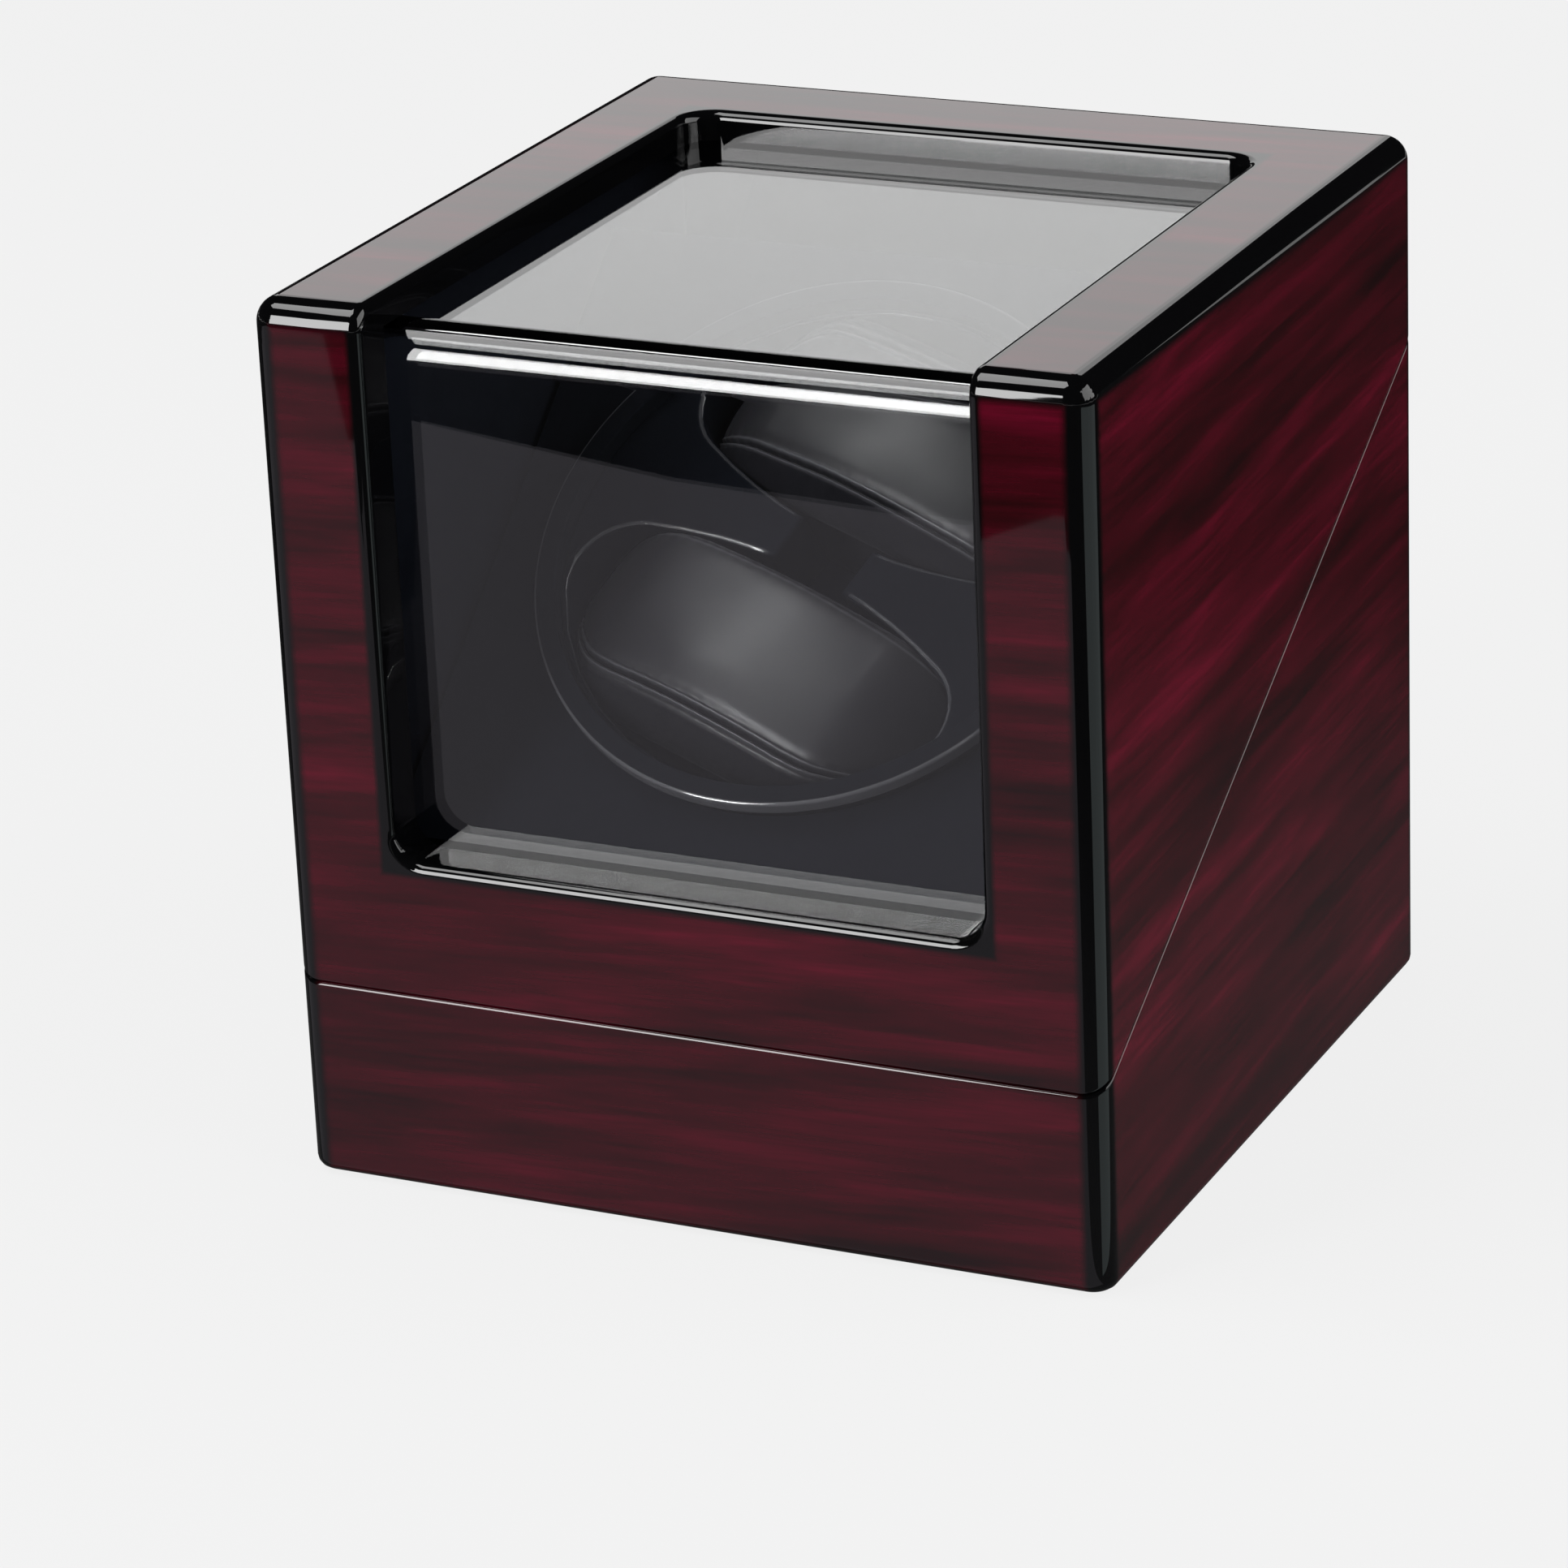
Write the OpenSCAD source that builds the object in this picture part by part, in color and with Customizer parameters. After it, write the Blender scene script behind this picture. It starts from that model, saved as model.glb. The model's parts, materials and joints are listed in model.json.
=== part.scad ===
// Two-watch winder box: a lacquered cube case with a wedge-shaped lid, a bent clear window,
// and a tilted turntable that carries two watch pillows. The front faces -Y, +Z is up, and the
// origin is on the resting face, under the middle of the case. Millimetres.

/* [Case] */
// Width of the case
case_w = 160; // [154:1:176]
// Depth of the case, front face to back face
case_d = 162; // [158:1:176]
// Height of the closed case above the resting face
case_h = 169; // [167:1:184]
// Thickness of the lacquered boards
wall = 12; // [10:0.5:13]
// Radius of the rounded outer edges
edge_r = 4.8; // [2:0.2:8]
// Height of the sloping seam at the front face
seam_front_z = 39; // [34:1:44]
// Depth of the sloping seam below the top at the back face
seam_back_drop = 38; // [33:1:45]
// Gap between the rims of lid and base
seam_gap = 0.4; // [0.2:0.1:0.8]
// Thickness of the bottom board
board_t = 3; // [2:0.5:5]
// Thickness of the felt under the case
felt_t = 1.5; // [1:0.25:3]
// Height of the case rim above the resting face
rim_lift = 0.5; // [0.2:0.1:0.9]
// Width of the ledge that takes the bottom board
ledge_w = 6; // [5:0.5:7]

/* [Window] */
// Width of the window opening
window_w = 115.6; // [100:0.4:118]
// Height of the lower edge of the front opening
window_sill = 65; // [60:0.5:68]
// Width of the rail behind the top opening
window_rail = 25; // [20:0.5:34]
// Radius of the corners of the opening
window_corner_r = 6; // [3:0.5:10]
// Thickness of the clear pane
pane_t = 3; // [2:0.25:4]
// Outer radius of the bend in the pane
pane_bend_r = 7; // [6:0.5:12]
// Depth of the pane's rebate in the back of the front board
front_rebate = 2.6; // [1:0.1:4]
// Depth of the pane's rebate in the underside of the top board
top_rebate = 6.3; // [4:0.1:7.5]
// Width of the glued border of the pane
pane_lap = 7; // [4:0.5:8]
// Thickness of the lining on the lid's side walls
lining_t = 1; // [0.6:0.1:1.3]

/* [Hinges] */
// Distance of the middle of each hinge from the side of the case
hinge_inset = 35; // [30:1:45]
// Length of a hinge
hinge_l = 30; // [24:1:36]
// Depth of a hinge leaf
leaf_d = 10; // [9:0.5:11]
// Thickness of a hinge leaf
leaf_t = 1.2; // [0.8:0.1:1.6]
// Radius of the knuckles
knuckle_r = 2.2; // [1.8:0.1:2.4]
// Radius of the hinge pins
hinge_pin_r = 1; // [0.7:0.05:1.2]
// Distance between the knuckles and the back face
knuckle_clear = 0.4; // [0.3:0.1:1]
// Length of the hinge screws under the leaf
hinge_screw_l = 6; // [4:0.5:7]

/* [Deck] */
// Slope of the deck and turntable
tilt = 40; // [38:0.5:42]
// Distance of the turntable's centre in front of the middle of the case
ring_front = 18; // [16:0.5:20]
// Depth of the middle of the turntable rim below the top
ring_drop = 57.3; // [56:0.1:60]
// Depth of the deck face below the rim
deck_drop = 6; // [5:0.5:8]
// Thickness of the deck board
deck_t = 4; // [3:0.5:5]
// Length of the deck above the middle of the turntable
deck_up = 64; // [60:0.5:66]
// Thickness of the boards of the deck box
cheek_t = 4; // [3:0.5:5]
// Gap between the deck box and the sides and back of the case
deck_gap = 2.5; // [2:0.1:4]
// Gap between the deck box and the pane
pane_gap = 3.4; // [2:0.1:5]

/* [Turntable] */
// Outer radius of the rim
rim_r = 54.7; // [53.8:0.1:56]
// Outer radius of the cup
cup_r = 52.5; // [52:0.1:53.2]
// Thickness of the cup's wall and floor
cup_t = 2; // [1.5:0.1:2.5]
// Thickness of the rim
rim_t = 3; // [2:0.25:4]
// Depth from the rim to the underside of the cup
cup_depth = 36.5; // [35:0.5:40]
// Running gap between the cup and the hole in the deck
cup_gap = 1; // [0.6:0.1:1.2]
// Depth of the insert's face below the rim
insert_drop = 3.5; // [2:0.5:6]
// Thickness of the insert's wall around the pockets
insert_wall = 1; // [0.6:0.1:2]
// Thickness of the insert under the pockets
insert_floor = 3; // [2:0.5:4]
// Angle at which the turntable is parked
park = -19.5; // [-90:0.5:90]
// Width of the bar between the two pockets at its middle
divider_w = 9.4; // [8:0.2:12]
// Radius of the bowed side of each pocket, next to the bar
pocket_bow_r = 110; // [90:5:160]
// Radius of the inner corners of a pocket
pocket_corner_r = 12; // [8:0.5:14]
// Width of the finger notch in the bar
notch_w = 16.5; // [12:0.5:20]
// Depth of the finger notch below the insert's face
notch_depth = 16; // [10:0.5:22]

/* [Pillows] */
// Length of a pillow, along the strap
pillow_l = 82; // [74:0.5:84]
// Thickness of a pillow
pillow_t = 34; // [30:0.5:35]
// Distance of a pillow's outer side from the turntable axis
pillow_side_y = 40.5; // [38:0.5:42]
// Gap between a pillow and its pocket
pillow_gap = 0.3; // [0.2:0.05:0.6]

/* [Drive] */
// Radius of the spindle
spindle_r = 3; // [2.5:0.1:3.4]
// Radial clearance of the spindle and of the selector shaft
run_fit = 0.05; // [0.03:0.01:0.08]
// Radius of the hub under the cup
hub_r = 9; // [8:0.5:12]
// Height of the hub under the cup
hub_h = 4; // [3:0.5:5]
// Tooth module of the gears
gear_m = 1; // [0.95:0.01:1.02]
// Number of teeth of the drive gear
gear_z = 48; // [44:2:50]
// Number of teeth of the pinion
pinion_z = 16; // [14:2:20]
// Backlash between the gears
backlash = 0.3; // [0.2:0.05:0.4]
// Width of the gears
gear_w = 5; // [4:0.5:6]
// Thickness of the thrust washer
washer_t = 1; // [0.5:0.1:1.5]
// Outer radius of the bearing bush
bush_r = 5; // [4.6:0.1:6]
// Length of the bush below its flange
bush_l = 9; // [7:0.5:11]
// Thickness of the bush's flange
flange_t = 1; // [0.8:0.1:1.5]
// Thickness of the drive plate
plate_t = 3; // [2:0.25:4]
// Length of the drive plate along the slope
plate_l = 66; // [62:1:72]
// Section of the battens that carry the drive plate
batten_w = 8; // [7:0.5:9]
// Radius of the gearbox
gearbox_r = 12.5; // [11.5:0.5:14]
// Length of the gearbox
gearbox_l = 12; // [10:0.5:14]
// Radius of the motor can
motor_r = 10; // [8:0.5:11]
// Length of the motor can
motor_l = 20; // [16:0.5:24]
// Radius of the motor's output shaft
output_r = 1.5; // [1.2:0.1:2]

/* [Controls] */
// Width of the control opening in the back
control_w = 60; // [50:1:64]
// Height of the control opening in the back
control_h = 26; // [22:0.5:28]
// Height of the middle of the controls
control_z = 31; // [28:0.5:34]
// Thickness of the control plate
control_t = 2; // [1.5:0.25:3]
// Border of the control plate around the opening
control_lap = 5; // [5:0.5:6]
// Distance of the selector and the inlet from the middle
control_x = 15; // [12:0.5:18]
// Distance between control plate and circuit board
standoff_l = 11; // [10.5:0.5:12]
// Radius of the selector knob
knob_r = 7.5; // [6:0.5:9]
// Height of the selector knob
knob_h = 8; // [6:0.5:9]
// Radius of the power inlet's socket
socket_r = 2.85; // [2.8:0.05:3]

/* [Hidden] */
$fn = 96;

slack = 0.05;              // radial slack of fixed round parts in their holes
fit = 0.1;                 // gap at the edges of boards and plates that are set in
felt_gap = 0.5;            // gap around the felt
cut = 1;                   // how far cutters run past the face that they open
arc_steps = 10;            // straight steps in each arc of a pocket's outline
half_w = case_w / 2;
half_d = case_d / 2;
in_x = half_w - wall;      // inner faces of the side boards
in_y = half_d - wall;      // inner faces of the front and back boards
in_z = case_h - wall;      // underside of the top board
pane_y = -in_y - front_rebate;    // outer face of the pane behind the front
pane_z = in_z + top_rebate;       // outer face of the pane under the top
floor_z = felt_t + board_t;
ring_z = case_h - ring_drop;
seam_back_z = case_h - seam_back_drop;
hinge_x = half_w - hinge_inset;
seam_run = seam_back_z - seam_front_z;
seam_angle = atan2(seam_run, case_d);
half_gap = seam_gap / 2;
knuckle_out = (knuckle_r + knuckle_clear) / cos(seam_angle) + half_gap * tan(seam_angle);
front_s = (case_d - wall / 2) / cos(seam_angle);   // along the seam, hinge edge to front board
function seam_z(y) = seam_front_z + (y + half_d) * tan(seam_angle);

// deck box, in the turntable's own frame: x across, y up the slope, z out of the deck
deck_x = in_x - deck_gap;
deck_top = -deck_drop;
deck_low = deck_top - deck_t;
cheek_front_y = pane_y + pane_t + pane_gap;
function ring_world(y, z) = [-ring_front + y * cos(tilt) - z * sin(tilt),
                             ring_z + y * sin(tilt) + z * cos(tilt)];
function slope_at(y, z) = (y + ring_front + z * sin(tilt)) / cos(tilt);  // v of a point at world y
deck_v0 = slope_at(cheek_front_y, deck_top);
rear_low = -(in_y - deck_gap + ring_front - (deck_up - cheek_t) * cos(tilt)) / sin(tilt);

// stack under the cup, down the turntable axis
cup_floor = -cup_depth + cup_t;
hub_low = -cup_depth - hub_h;
gear_low = hub_low - gear_w;
washer_low = gear_low - washer_t;
flange_low = washer_low - flange_t;
plate_low = flange_low - plate_t;
bush_low = flange_low - bush_l;
clip_t = 0.8;
spindle_low = bush_low - clip_t - 2;
gear_pitch_r = gear_m * gear_z / 2;
pinion_pitch_r = gear_m * pinion_z / 2;
motor_x = gear_pitch_r + pinion_pitch_r;
gearbox_low = plate_low - gearbox_l;
motor_low = gearbox_low - motor_l;
cup_in_r = cup_r - cup_t;
insert_top = -insert_drop;
insert_r = cup_in_r - slack;
pocket_r = insert_r - insert_wall;
pocket_low = cup_floor + insert_floor;
pillow_mid = pocket_low + pillow_gap + pillow_t / 2;
plate_x = deck_x - cheek_t - fit;
plate_screw_x = plate_x - batten_w / 2;
plate_screw_v = plate_l / 2 - 8;

// fasteners
wood_screw_r = 1.25;
wood_head_r = 2.4;
wood_head_t = 1.4;
bottom_screw_l = 9;        // above the bottom board
control_screw_l = 7;       // in the back board
board_screw_l = 5;         // in the standoffs
hub_screw_l = 8;
motor_screw_l = 4;
tip_gap = 0.5;             // between a screw's tip and the end of its hole
leaf_screw_r = 1.2;
leaf_head_r = 2.1;
leaf_screw_x = hinge_l / 2 - 5;
leaf_screw_s = leaf_d - 3.2;
small_screw_r = 1;
small_head_r = 1.9;
small_head_t = 1.2;
motor_screw_v = gearbox_r - 3;
hub_screw_head_r = spindle_r + 1.2;
hub_screw_head_t = 1.5;

// controls
plate_in_y = in_y - control_t;
pcb_t = 1.6;
pcb_y = plate_in_y - standoff_l;
pcb_w = control_w - 6;
pcb_h = control_h + 2;
standoff_r = 2.4;
standoff_x = pcb_w / 2 - 3.2;
standoff_z = pcb_h / 2 - 3.2;
control_screw_x = control_w / 2 + control_lap / 2;
selector_shaft_r = 2.4;
selector_hole_r = selector_shaft_r + run_fit;
selector_body = 11;
selector_body_t = 7;
selector_floor = 2;
knob_gap = 0.5;
socket_depth = 9;
inlet_r = 4.2;
inlet_body = 11;
pin_r = 1;

// colours
c_wood = [0.27, 0.08, 0.08];
c_black = [0.05, 0.05, 0.05];
c_suede = [0.2, 0.2, 0.21];
c_steel = [0.7, 0.7, 0.72];
c_brass = [0.8, 0.63, 0.3];
c_plastic = [0.13, 0.13, 0.14];
c_white = [0.85, 0.85, 0.82];

// ---- frames and outlines -------------------------------------------------------------------

module in_ring() translate([0, -ring_front, ring_z]) rotate([tilt, 0, 0]) children();
module on_turntable() in_ring() rotate([0, 0, park]) children();
module in_seam() translate([0, half_d, seam_back_z]) rotate([seam_angle, 0, 0]) children();
module both_sides(x) for (s = [-1, 1]) translate([s * x, 0, 0]) children();
module box(low, high) translate(low) cube(high - low);
module disc(r, low, high) translate([0, 0, low]) cylinder(r = r, h = high - low);

// prism with an outline in Y and Z, from x0 to x1
module yz_prism(points, x0, x1)
    translate([x0, 0, 0]) rotate([90, 0, 90]) linear_extrude(height = x1 - x0) polygon(points);

// upright block with round vertical edges
module round_block(w, d, low, high, r) {
    box([-w / 2 + r, -d / 2, low], [w / 2 - r, d / 2, high]);
    box([-w / 2, -d / 2 + r, low], [w / 2, d / 2 - r, high]);
    for (x = [-1, 1], y = [-1, 1])
        translate([x * (w / 2 - r), y * (d / 2 - r), 0]) disc(r, low, high);
}

// long block whose two upper edges are round, with its length along X
module round_top_x(l, d, high, r) {
    box([-l / 2, -d / 2, 0], [l / 2, d / 2, high - r]);
    box([-l / 2, -d / 2 + r, 0], [l / 2, d / 2 - r, high]);
    for (s = [-1, 1])
        translate([-l / 2, s * (d / 2 - r), high - r]) rotate([0, 90, 0]) disc(r, 0, l);
}

// everything above the seam plane, moved by offset along the plane's normal
module above_seam(offset_n)
    in_seam() box([-case_w, -2 * case_d, offset_n], [case_w, case_d, case_h]);
module below_seam(offset_n)
    in_seam() box([-case_w, -2 * case_d, -2 * case_h], [case_w, case_d, offset_n]);

// ---- base ----------------------------------------------------------------------------------

module hinge_places() in_seam() both_sides(hinge_x) children();
module leaf_screw_places() both_sides(leaf_screw_x) translate([0, -leaf_screw_s, 0]) children();
module bottom_screw_places()
    for (x = [-1, 1], y = [-1, 1])
        translate([x * (in_x + ledge_w / 2), y * (in_y + ledge_w / 2), 0]) children();
module bumper_places() in_seam() {
    both_sides(half_w - wall / 2 - bumper_inset) translate([0, -front_s, 0]) children();
    both_sides(half_w - wall / 2) translate([0, -front_s / 2, 0]) children();
}
module magnet_places() in_seam() both_sides(hinge_x) translate([0, -front_s, 0]) children();
module control_screw_places()
    translate([0, 0, control_z]) both_sides(control_screw_x) children();

magnet_r = 4;
magnet_t = 3;
striker_t = 1;
bumper_r = 3;
bumper_seat = 0.8;
bumper_inset = 10;         // of the front bumpers, from the middle of the side boards

module leaf_recess() {
    box([-hinge_l / 2, -leaf_d, -half_gap - leaf_t], [hinge_l / 2, cut, cut]);
    leaf_screw_places() disc(leaf_screw_r + slack, -half_gap - leaf_t - hinge_screw_l, 0);
}

module base_shell() color(c_wood) difference() {
    intersection() {
        round_block(case_w, case_d, rim_lift, case_h, edge_r);
        below_seam(-half_gap);
    }
    box([-in_x, -in_y, -cut], [in_x, in_y, case_h + cut]);
    box([-in_x - ledge_w, -in_y - ledge_w, -cut], [in_x + ledge_w, in_y + ledge_w, floor_z]);
    bottom_screw_places() disc(wood_screw_r + slack, floor_z - cut, floor_z + bottom_screw_l + tip_gap);
    hinge_places() leaf_recess();
    magnet_places() disc(magnet_r + slack, -half_gap - striker_t, cut);
    bumper_places() disc(bumper_r + slack, -half_gap - bumper_seat, cut);
    box([-control_w / 2, in_y - cut, control_z - control_h / 2],
        [control_w / 2, half_d + cut, control_z + control_h / 2]);
    control_screw_places() translate([0, in_y, 0]) rotate([-90, 0, 0])
        disc(wood_screw_r + slack, -cut, control_screw_l + tip_gap);
}

module bottom_board() color(c_plastic) difference() {
    box([-in_x - ledge_w + fit, -in_y - ledge_w + fit, felt_t],
        [in_x + ledge_w - fit, in_y + ledge_w - fit, floor_z]);
    bottom_screw_places() {
        disc(wood_screw_r + slack, 0, floor_z + cut);
        disc(wood_head_r + slack, felt_t - cut, felt_t + wood_head_t);
    }
}

module base_felt() color(c_black)
    box([-in_x - ledge_w + felt_gap, -in_y - ledge_w + felt_gap, 0],
        [in_x + ledge_w - felt_gap, in_y + ledge_w - felt_gap, felt_t]);

module bottom_screws() color(c_steel) bottom_screw_places() {
    disc(wood_head_r, felt_t, felt_t + wood_head_t);
    disc(wood_screw_r, felt_t, floor_z + bottom_screw_l);
}

module striker_discs() color(c_steel)
    magnet_places() disc(magnet_r, -half_gap - striker_t, -half_gap);

module seam_bumpers() color(c_black)
    bumper_places() disc(bumper_r, -half_gap - bumper_seat, half_gap);

// ---- lid -----------------------------------------------------------------------------------

module window_cutter() {
    x = window_w / 2;
    back = half_d - window_rail;
    r = window_corner_r;
    box([-x, -half_d - cut, window_sill + r], [x, -in_y + cut, case_h + cut]);
    box([-x + r, -half_d - cut, window_sill], [x - r, -in_y + cut, window_sill + r + cut]);
    both_sides(x - r) translate([0, -half_d - cut, window_sill + r]) rotate([-90, 0, 0])
        disc(r, 0, wall + 2 * cut);
    box([-x, -half_d - cut, in_z - cut], [x, back - r, case_h + cut]);
    box([-x + r, -half_d - cut, in_z - cut], [x - r, back, case_h + cut]);
    both_sides(x - r) translate([0, back - r, 0]) disc(r, in_z - cut, case_h + cut);
}

module pane_rebate() {
    x = pane_x + fit;
    box([-x, pane_y, pane_low - fit], [x, -in_y + cut, pane_z]);
    box([-x, pane_y, in_z - cut], [x, pane_back + fit, pane_z]);
}

module lid_shell() color(c_wood) difference() {
    intersection() {
        round_block(case_w, case_d, 0, case_h, edge_r);
        round_top_x(case_w, case_d, case_h, edge_r);
        rotate([0, 0, 90]) round_top_x(case_d, case_w, case_h, edge_r);
        above_seam(half_gap);
    }
    box([-in_x, -in_y, -cut], [in_x, in_y, in_z]);
    window_cutter();
    pane_rebate();
    hinge_places() mirror([0, 0, 1]) leaf_recess();
    magnet_places() disc(magnet_r + slack, -cut, half_gap + magnet_t);
}

pane_side_gap = 0.5;
lining_gap = 0.2;
pane_x = min(window_w / 2 + pane_lap, in_x - lining_t - pane_side_gap);
pane_low = window_sill - pane_lap;
pane_back = half_d - window_rail + pane_lap;

module window_pane() color([0.85, 0.88, 0.9, 0.35]) {
    box([-pane_x, pane_y, pane_low], [pane_x, pane_y + pane_t, pane_z - pane_bend_r]);
    box([-pane_x, pane_y + pane_bend_r, pane_z - pane_t], [pane_x, pane_back, pane_z]);
    translate([-pane_x, pane_y + pane_bend_r, pane_z - pane_bend_r]) rotate([90, 0, 90])
        rotate([0, 0, 90]) rotate_extrude(angle = 90)
            translate([pane_bend_r - pane_t, 0]) square([pane_t, 2 * pane_x]);
}

module lid_lining(side) color(c_suede) intersection() {
    mirror([side > 0 ? 0 : 1, 0, 0])
        box([in_x - lining_t, -in_y + lining_gap, 0], [in_x, in_y - lining_gap, in_z - lining_gap]);
    above_seam(half_gap + lining_gap);
}

module lid_magnets() color(c_steel)
    magnet_places() disc(magnet_r, half_gap, half_gap + magnet_t);

// ---- hinges --------------------------------------------------------------------------------

knuckle_l = hinge_l / 3;
knuckle_gap = 0.15;
pin_over = 0.4;            // how far a pin runs past the knuckles
pin_head_t = 1;
pin_head_r = hinge_pin_r + 0.5;

// leaf of the base, with knuckles on the given spans; the lid's leaf is its mirror image
module hinge_leaf(spans) color(c_brass) difference() {
    union() {
        box([-hinge_l / 2 + slack, -leaf_d + slack, -half_gap - leaf_t],
            [hinge_l / 2 - slack, 0, -half_gap]);
        for (s = spans) {
            box([s[0], -1, -half_gap - leaf_t], [s[1], knuckle_out, -half_gap]);
            translate([s[0], knuckle_out, 0]) rotate([0, 90, 0]) disc(knuckle_r, 0, s[1] - s[0]);
        }
    }
    translate([-hinge_l, knuckle_out, 0]) rotate([0, 90, 0])
        disc(hinge_pin_r + run_fit, 0, 2 * hinge_l);
    leaf_screw_places() translate([0, 0, -half_gap - leaf_t])
        cylinder(r1 = leaf_screw_r + slack, r2 = leaf_head_r + slack, h = leaf_t);
}

outer_spans = [[-hinge_l / 2, -knuckle_l / 2 - knuckle_gap],
    [knuckle_l / 2 + knuckle_gap, hinge_l / 2]];
inner_span = [[-knuckle_l / 2, knuckle_l / 2]];

module hinge_base_leaf(side) in_seam() translate([side * hinge_x, 0, 0]) hinge_leaf(outer_spans);
module hinge_lid_leaf(side)
    in_seam() translate([side * hinge_x, 0, 0]) mirror([0, 0, 1]) hinge_leaf(inner_span);
module hinge_pin(side) color(c_brass)
    in_seam() translate([side * hinge_x - hinge_l / 2, knuckle_out, 0]) rotate([0, 90, 0]) {
        disc(hinge_pin_r, -pin_over, hinge_l + pin_over);
        disc(pin_head_r, -pin_head_t, 0);
    }

module leaf_screw() {
    translate([0, 0, -half_gap - leaf_t]) cylinder(r1 = leaf_screw_r, r2 = leaf_head_r, h = leaf_t);
    disc(leaf_screw_r, -half_gap - leaf_t - hinge_screw_l + tip_gap, -half_gap);
}
module hinge_base_screws() color(c_brass) hinge_places() leaf_screw_places() leaf_screw();
module hinge_lid_screws() color(c_brass)
    hinge_places() mirror([0, 0, 1]) leaf_screw_places() leaf_screw();

// ---- deck box ------------------------------------------------------------------------------

cup_hole_r = cup_r + cup_gap;
rear_gap = 1;              // under the rear board

module deck_panel() color(c_suede) in_ring() difference() {
    box([-deck_x, deck_v0, deck_low], [deck_x, deck_up, deck_top]);
    disc(cup_hole_r, deck_low - cut, deck_top + cut);
}

module deck_front_board() color(c_suede) difference() {
    box([-deck_x + cheek_t, cheek_front_y, floor_z],
        [deck_x - cheek_t, cheek_front_y + cheek_t, case_h]);
    in_ring() box([-case_w, -case_d, deck_low], [case_w, case_d, case_h]);
}

// side board under the deck: up the slope, down the back, along the floor
module deck_cheek(side) color(c_suede) difference() {
    mirror([side > 0 ? 0 : 1, 0, 0]) yz_prism([
        [cheek_front_y, floor_z], [in_y - deck_gap, floor_z],
        ring_world(deck_up - cheek_t, rear_low),
        ring_world(deck_up - cheek_t, deck_low),
        ring_world(slope_at(cheek_front_y, deck_low), deck_low)], deck_x - cheek_t, deck_x);
}

module deck_rear_board() color(c_suede)
    in_ring() box([-deck_x, deck_up - cheek_t, rear_low + rear_gap], [deck_x, deck_up, deck_low]);

// ---- turntable -----------------------------------------------------------------------------

rim_bevel = 0.8;
head_room = 1;             // around the head of the hub screw

module turntable_cup() color(c_black) on_turntable() difference() {
    union() {
        rotate_extrude() polygon([
            [0, -cup_depth], [cup_r, -cup_depth], [cup_r, -rim_t - rim_bevel],
            [rim_r - rim_bevel, -rim_t], [rim_r, -rim_t + rim_bevel], [rim_r, -rim_bevel],
            [rim_r - rim_bevel, 0], [cup_in_r + rim_bevel, 0], [cup_in_r, -rim_bevel],
            [cup_in_r, cup_floor], [0, cup_floor]]);
        disc(hub_r, hub_low, -cup_depth);
    }
    disc(spindle_r + slack, hub_low - cut, cup_floor + cut);
}

function arc(middle, r, from, to) =
    [for (k = [0 : arc_steps])
        let (a = from + (to - from) * k / arc_steps) middle + r * [cos(a), sin(a)]];

// outline of the pocket on the +y side: a bowed side next to the bar, two round corners and
// the round side along the cup, all drawn in by inset
bow_y = divider_w / 2 + pocket_bow_r;
bow_to_corner = pocket_bow_r - pocket_corner_r;
axis_to_corner = pocket_r - pocket_corner_r;
corner_y = (pow(bow_y, 2) + pow(axis_to_corner, 2) - pow(bow_to_corner, 2)) / (2 * bow_y);
corner_x = sqrt(pow(axis_to_corner, 2) - pow(corner_y, 2));
bow_turn = atan2(corner_y - bow_y, corner_x);
cup_turn = atan2(corner_y, corner_x);
function pocket_outline(inset) = concat(
    arc([0, bow_y], pocket_bow_r - inset, -180 - bow_turn, bow_turn),
    arc([corner_x, corner_y], pocket_corner_r - inset, bow_turn, cup_turn),
    arc([0, 0], pocket_r - inset, cup_turn, 180 - cup_turn),
    arc([-corner_x, corner_y], pocket_corner_r - inset, 180 - cup_turn, 180 - bow_turn));

module pocket(inset, low, high)
    translate([0, 0, low]) linear_extrude(height = high - low) polygon(pocket_outline(inset));

module pocket_insert() color(c_suede) on_turntable() difference() {
    disc(insert_r, cup_floor, insert_top);
    for (turn = [0, 180]) rotate([0, 0, turn]) pocket(0, pocket_low, insert_top + cut);
    box([-notch_w / 2, -divider_w, insert_top - notch_depth],
        [notch_w / 2, divider_w, insert_top + cut]);
    disc(hub_screw_head_r + head_room, cup_floor - cut, cup_floor + hub_screw_head_t + head_room);
}

// padded roll with round ends, shaped to its pocket on the inner side
module pillow(turn) color(c_suede) on_turntable() rotate([0, 0, turn]) intersection() {
    union() {
        x = (pillow_l - pillow_t) / 2;
        box([-x, 0, pillow_mid - pillow_t / 2], [x, pillow_side_y, pillow_mid + pillow_t / 2]);
        both_sides(x) translate([0, 0, pillow_mid]) rotate([-90, 0, 0])
            disc(pillow_t / 2, 0, pillow_side_y);
    }
    pocket(pillow_gap, pillow_mid - pillow_t, pillow_mid + pillow_t);
}

// ---- drive ---------------------------------------------------------------------------------

// involute spur gear: each flank leaves the base circle and ends at the tip
pressure = 20;
function involute(rb, t) = [rb * (cos(t) + t * PI / 180 * sin(t)), rb * (sin(t) - t * PI / 180 * cos(t))];
function roll_at(rb, r) = r > rb ? sqrt(r * r / rb / rb - 1) * 180 / PI : 0;
function polar_angle(p) = atan2(p[1], p[0]);
function turned(p, a) = [p[0] * cos(a) - p[1] * sin(a), p[0] * sin(a) + p[1] * cos(a)];
flank_steps = 4;
addendum = 0.85;           // in modules
dedendum = 1.15;
root_turn = 0.3;           // widening of a tooth at its root, in degrees

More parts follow.
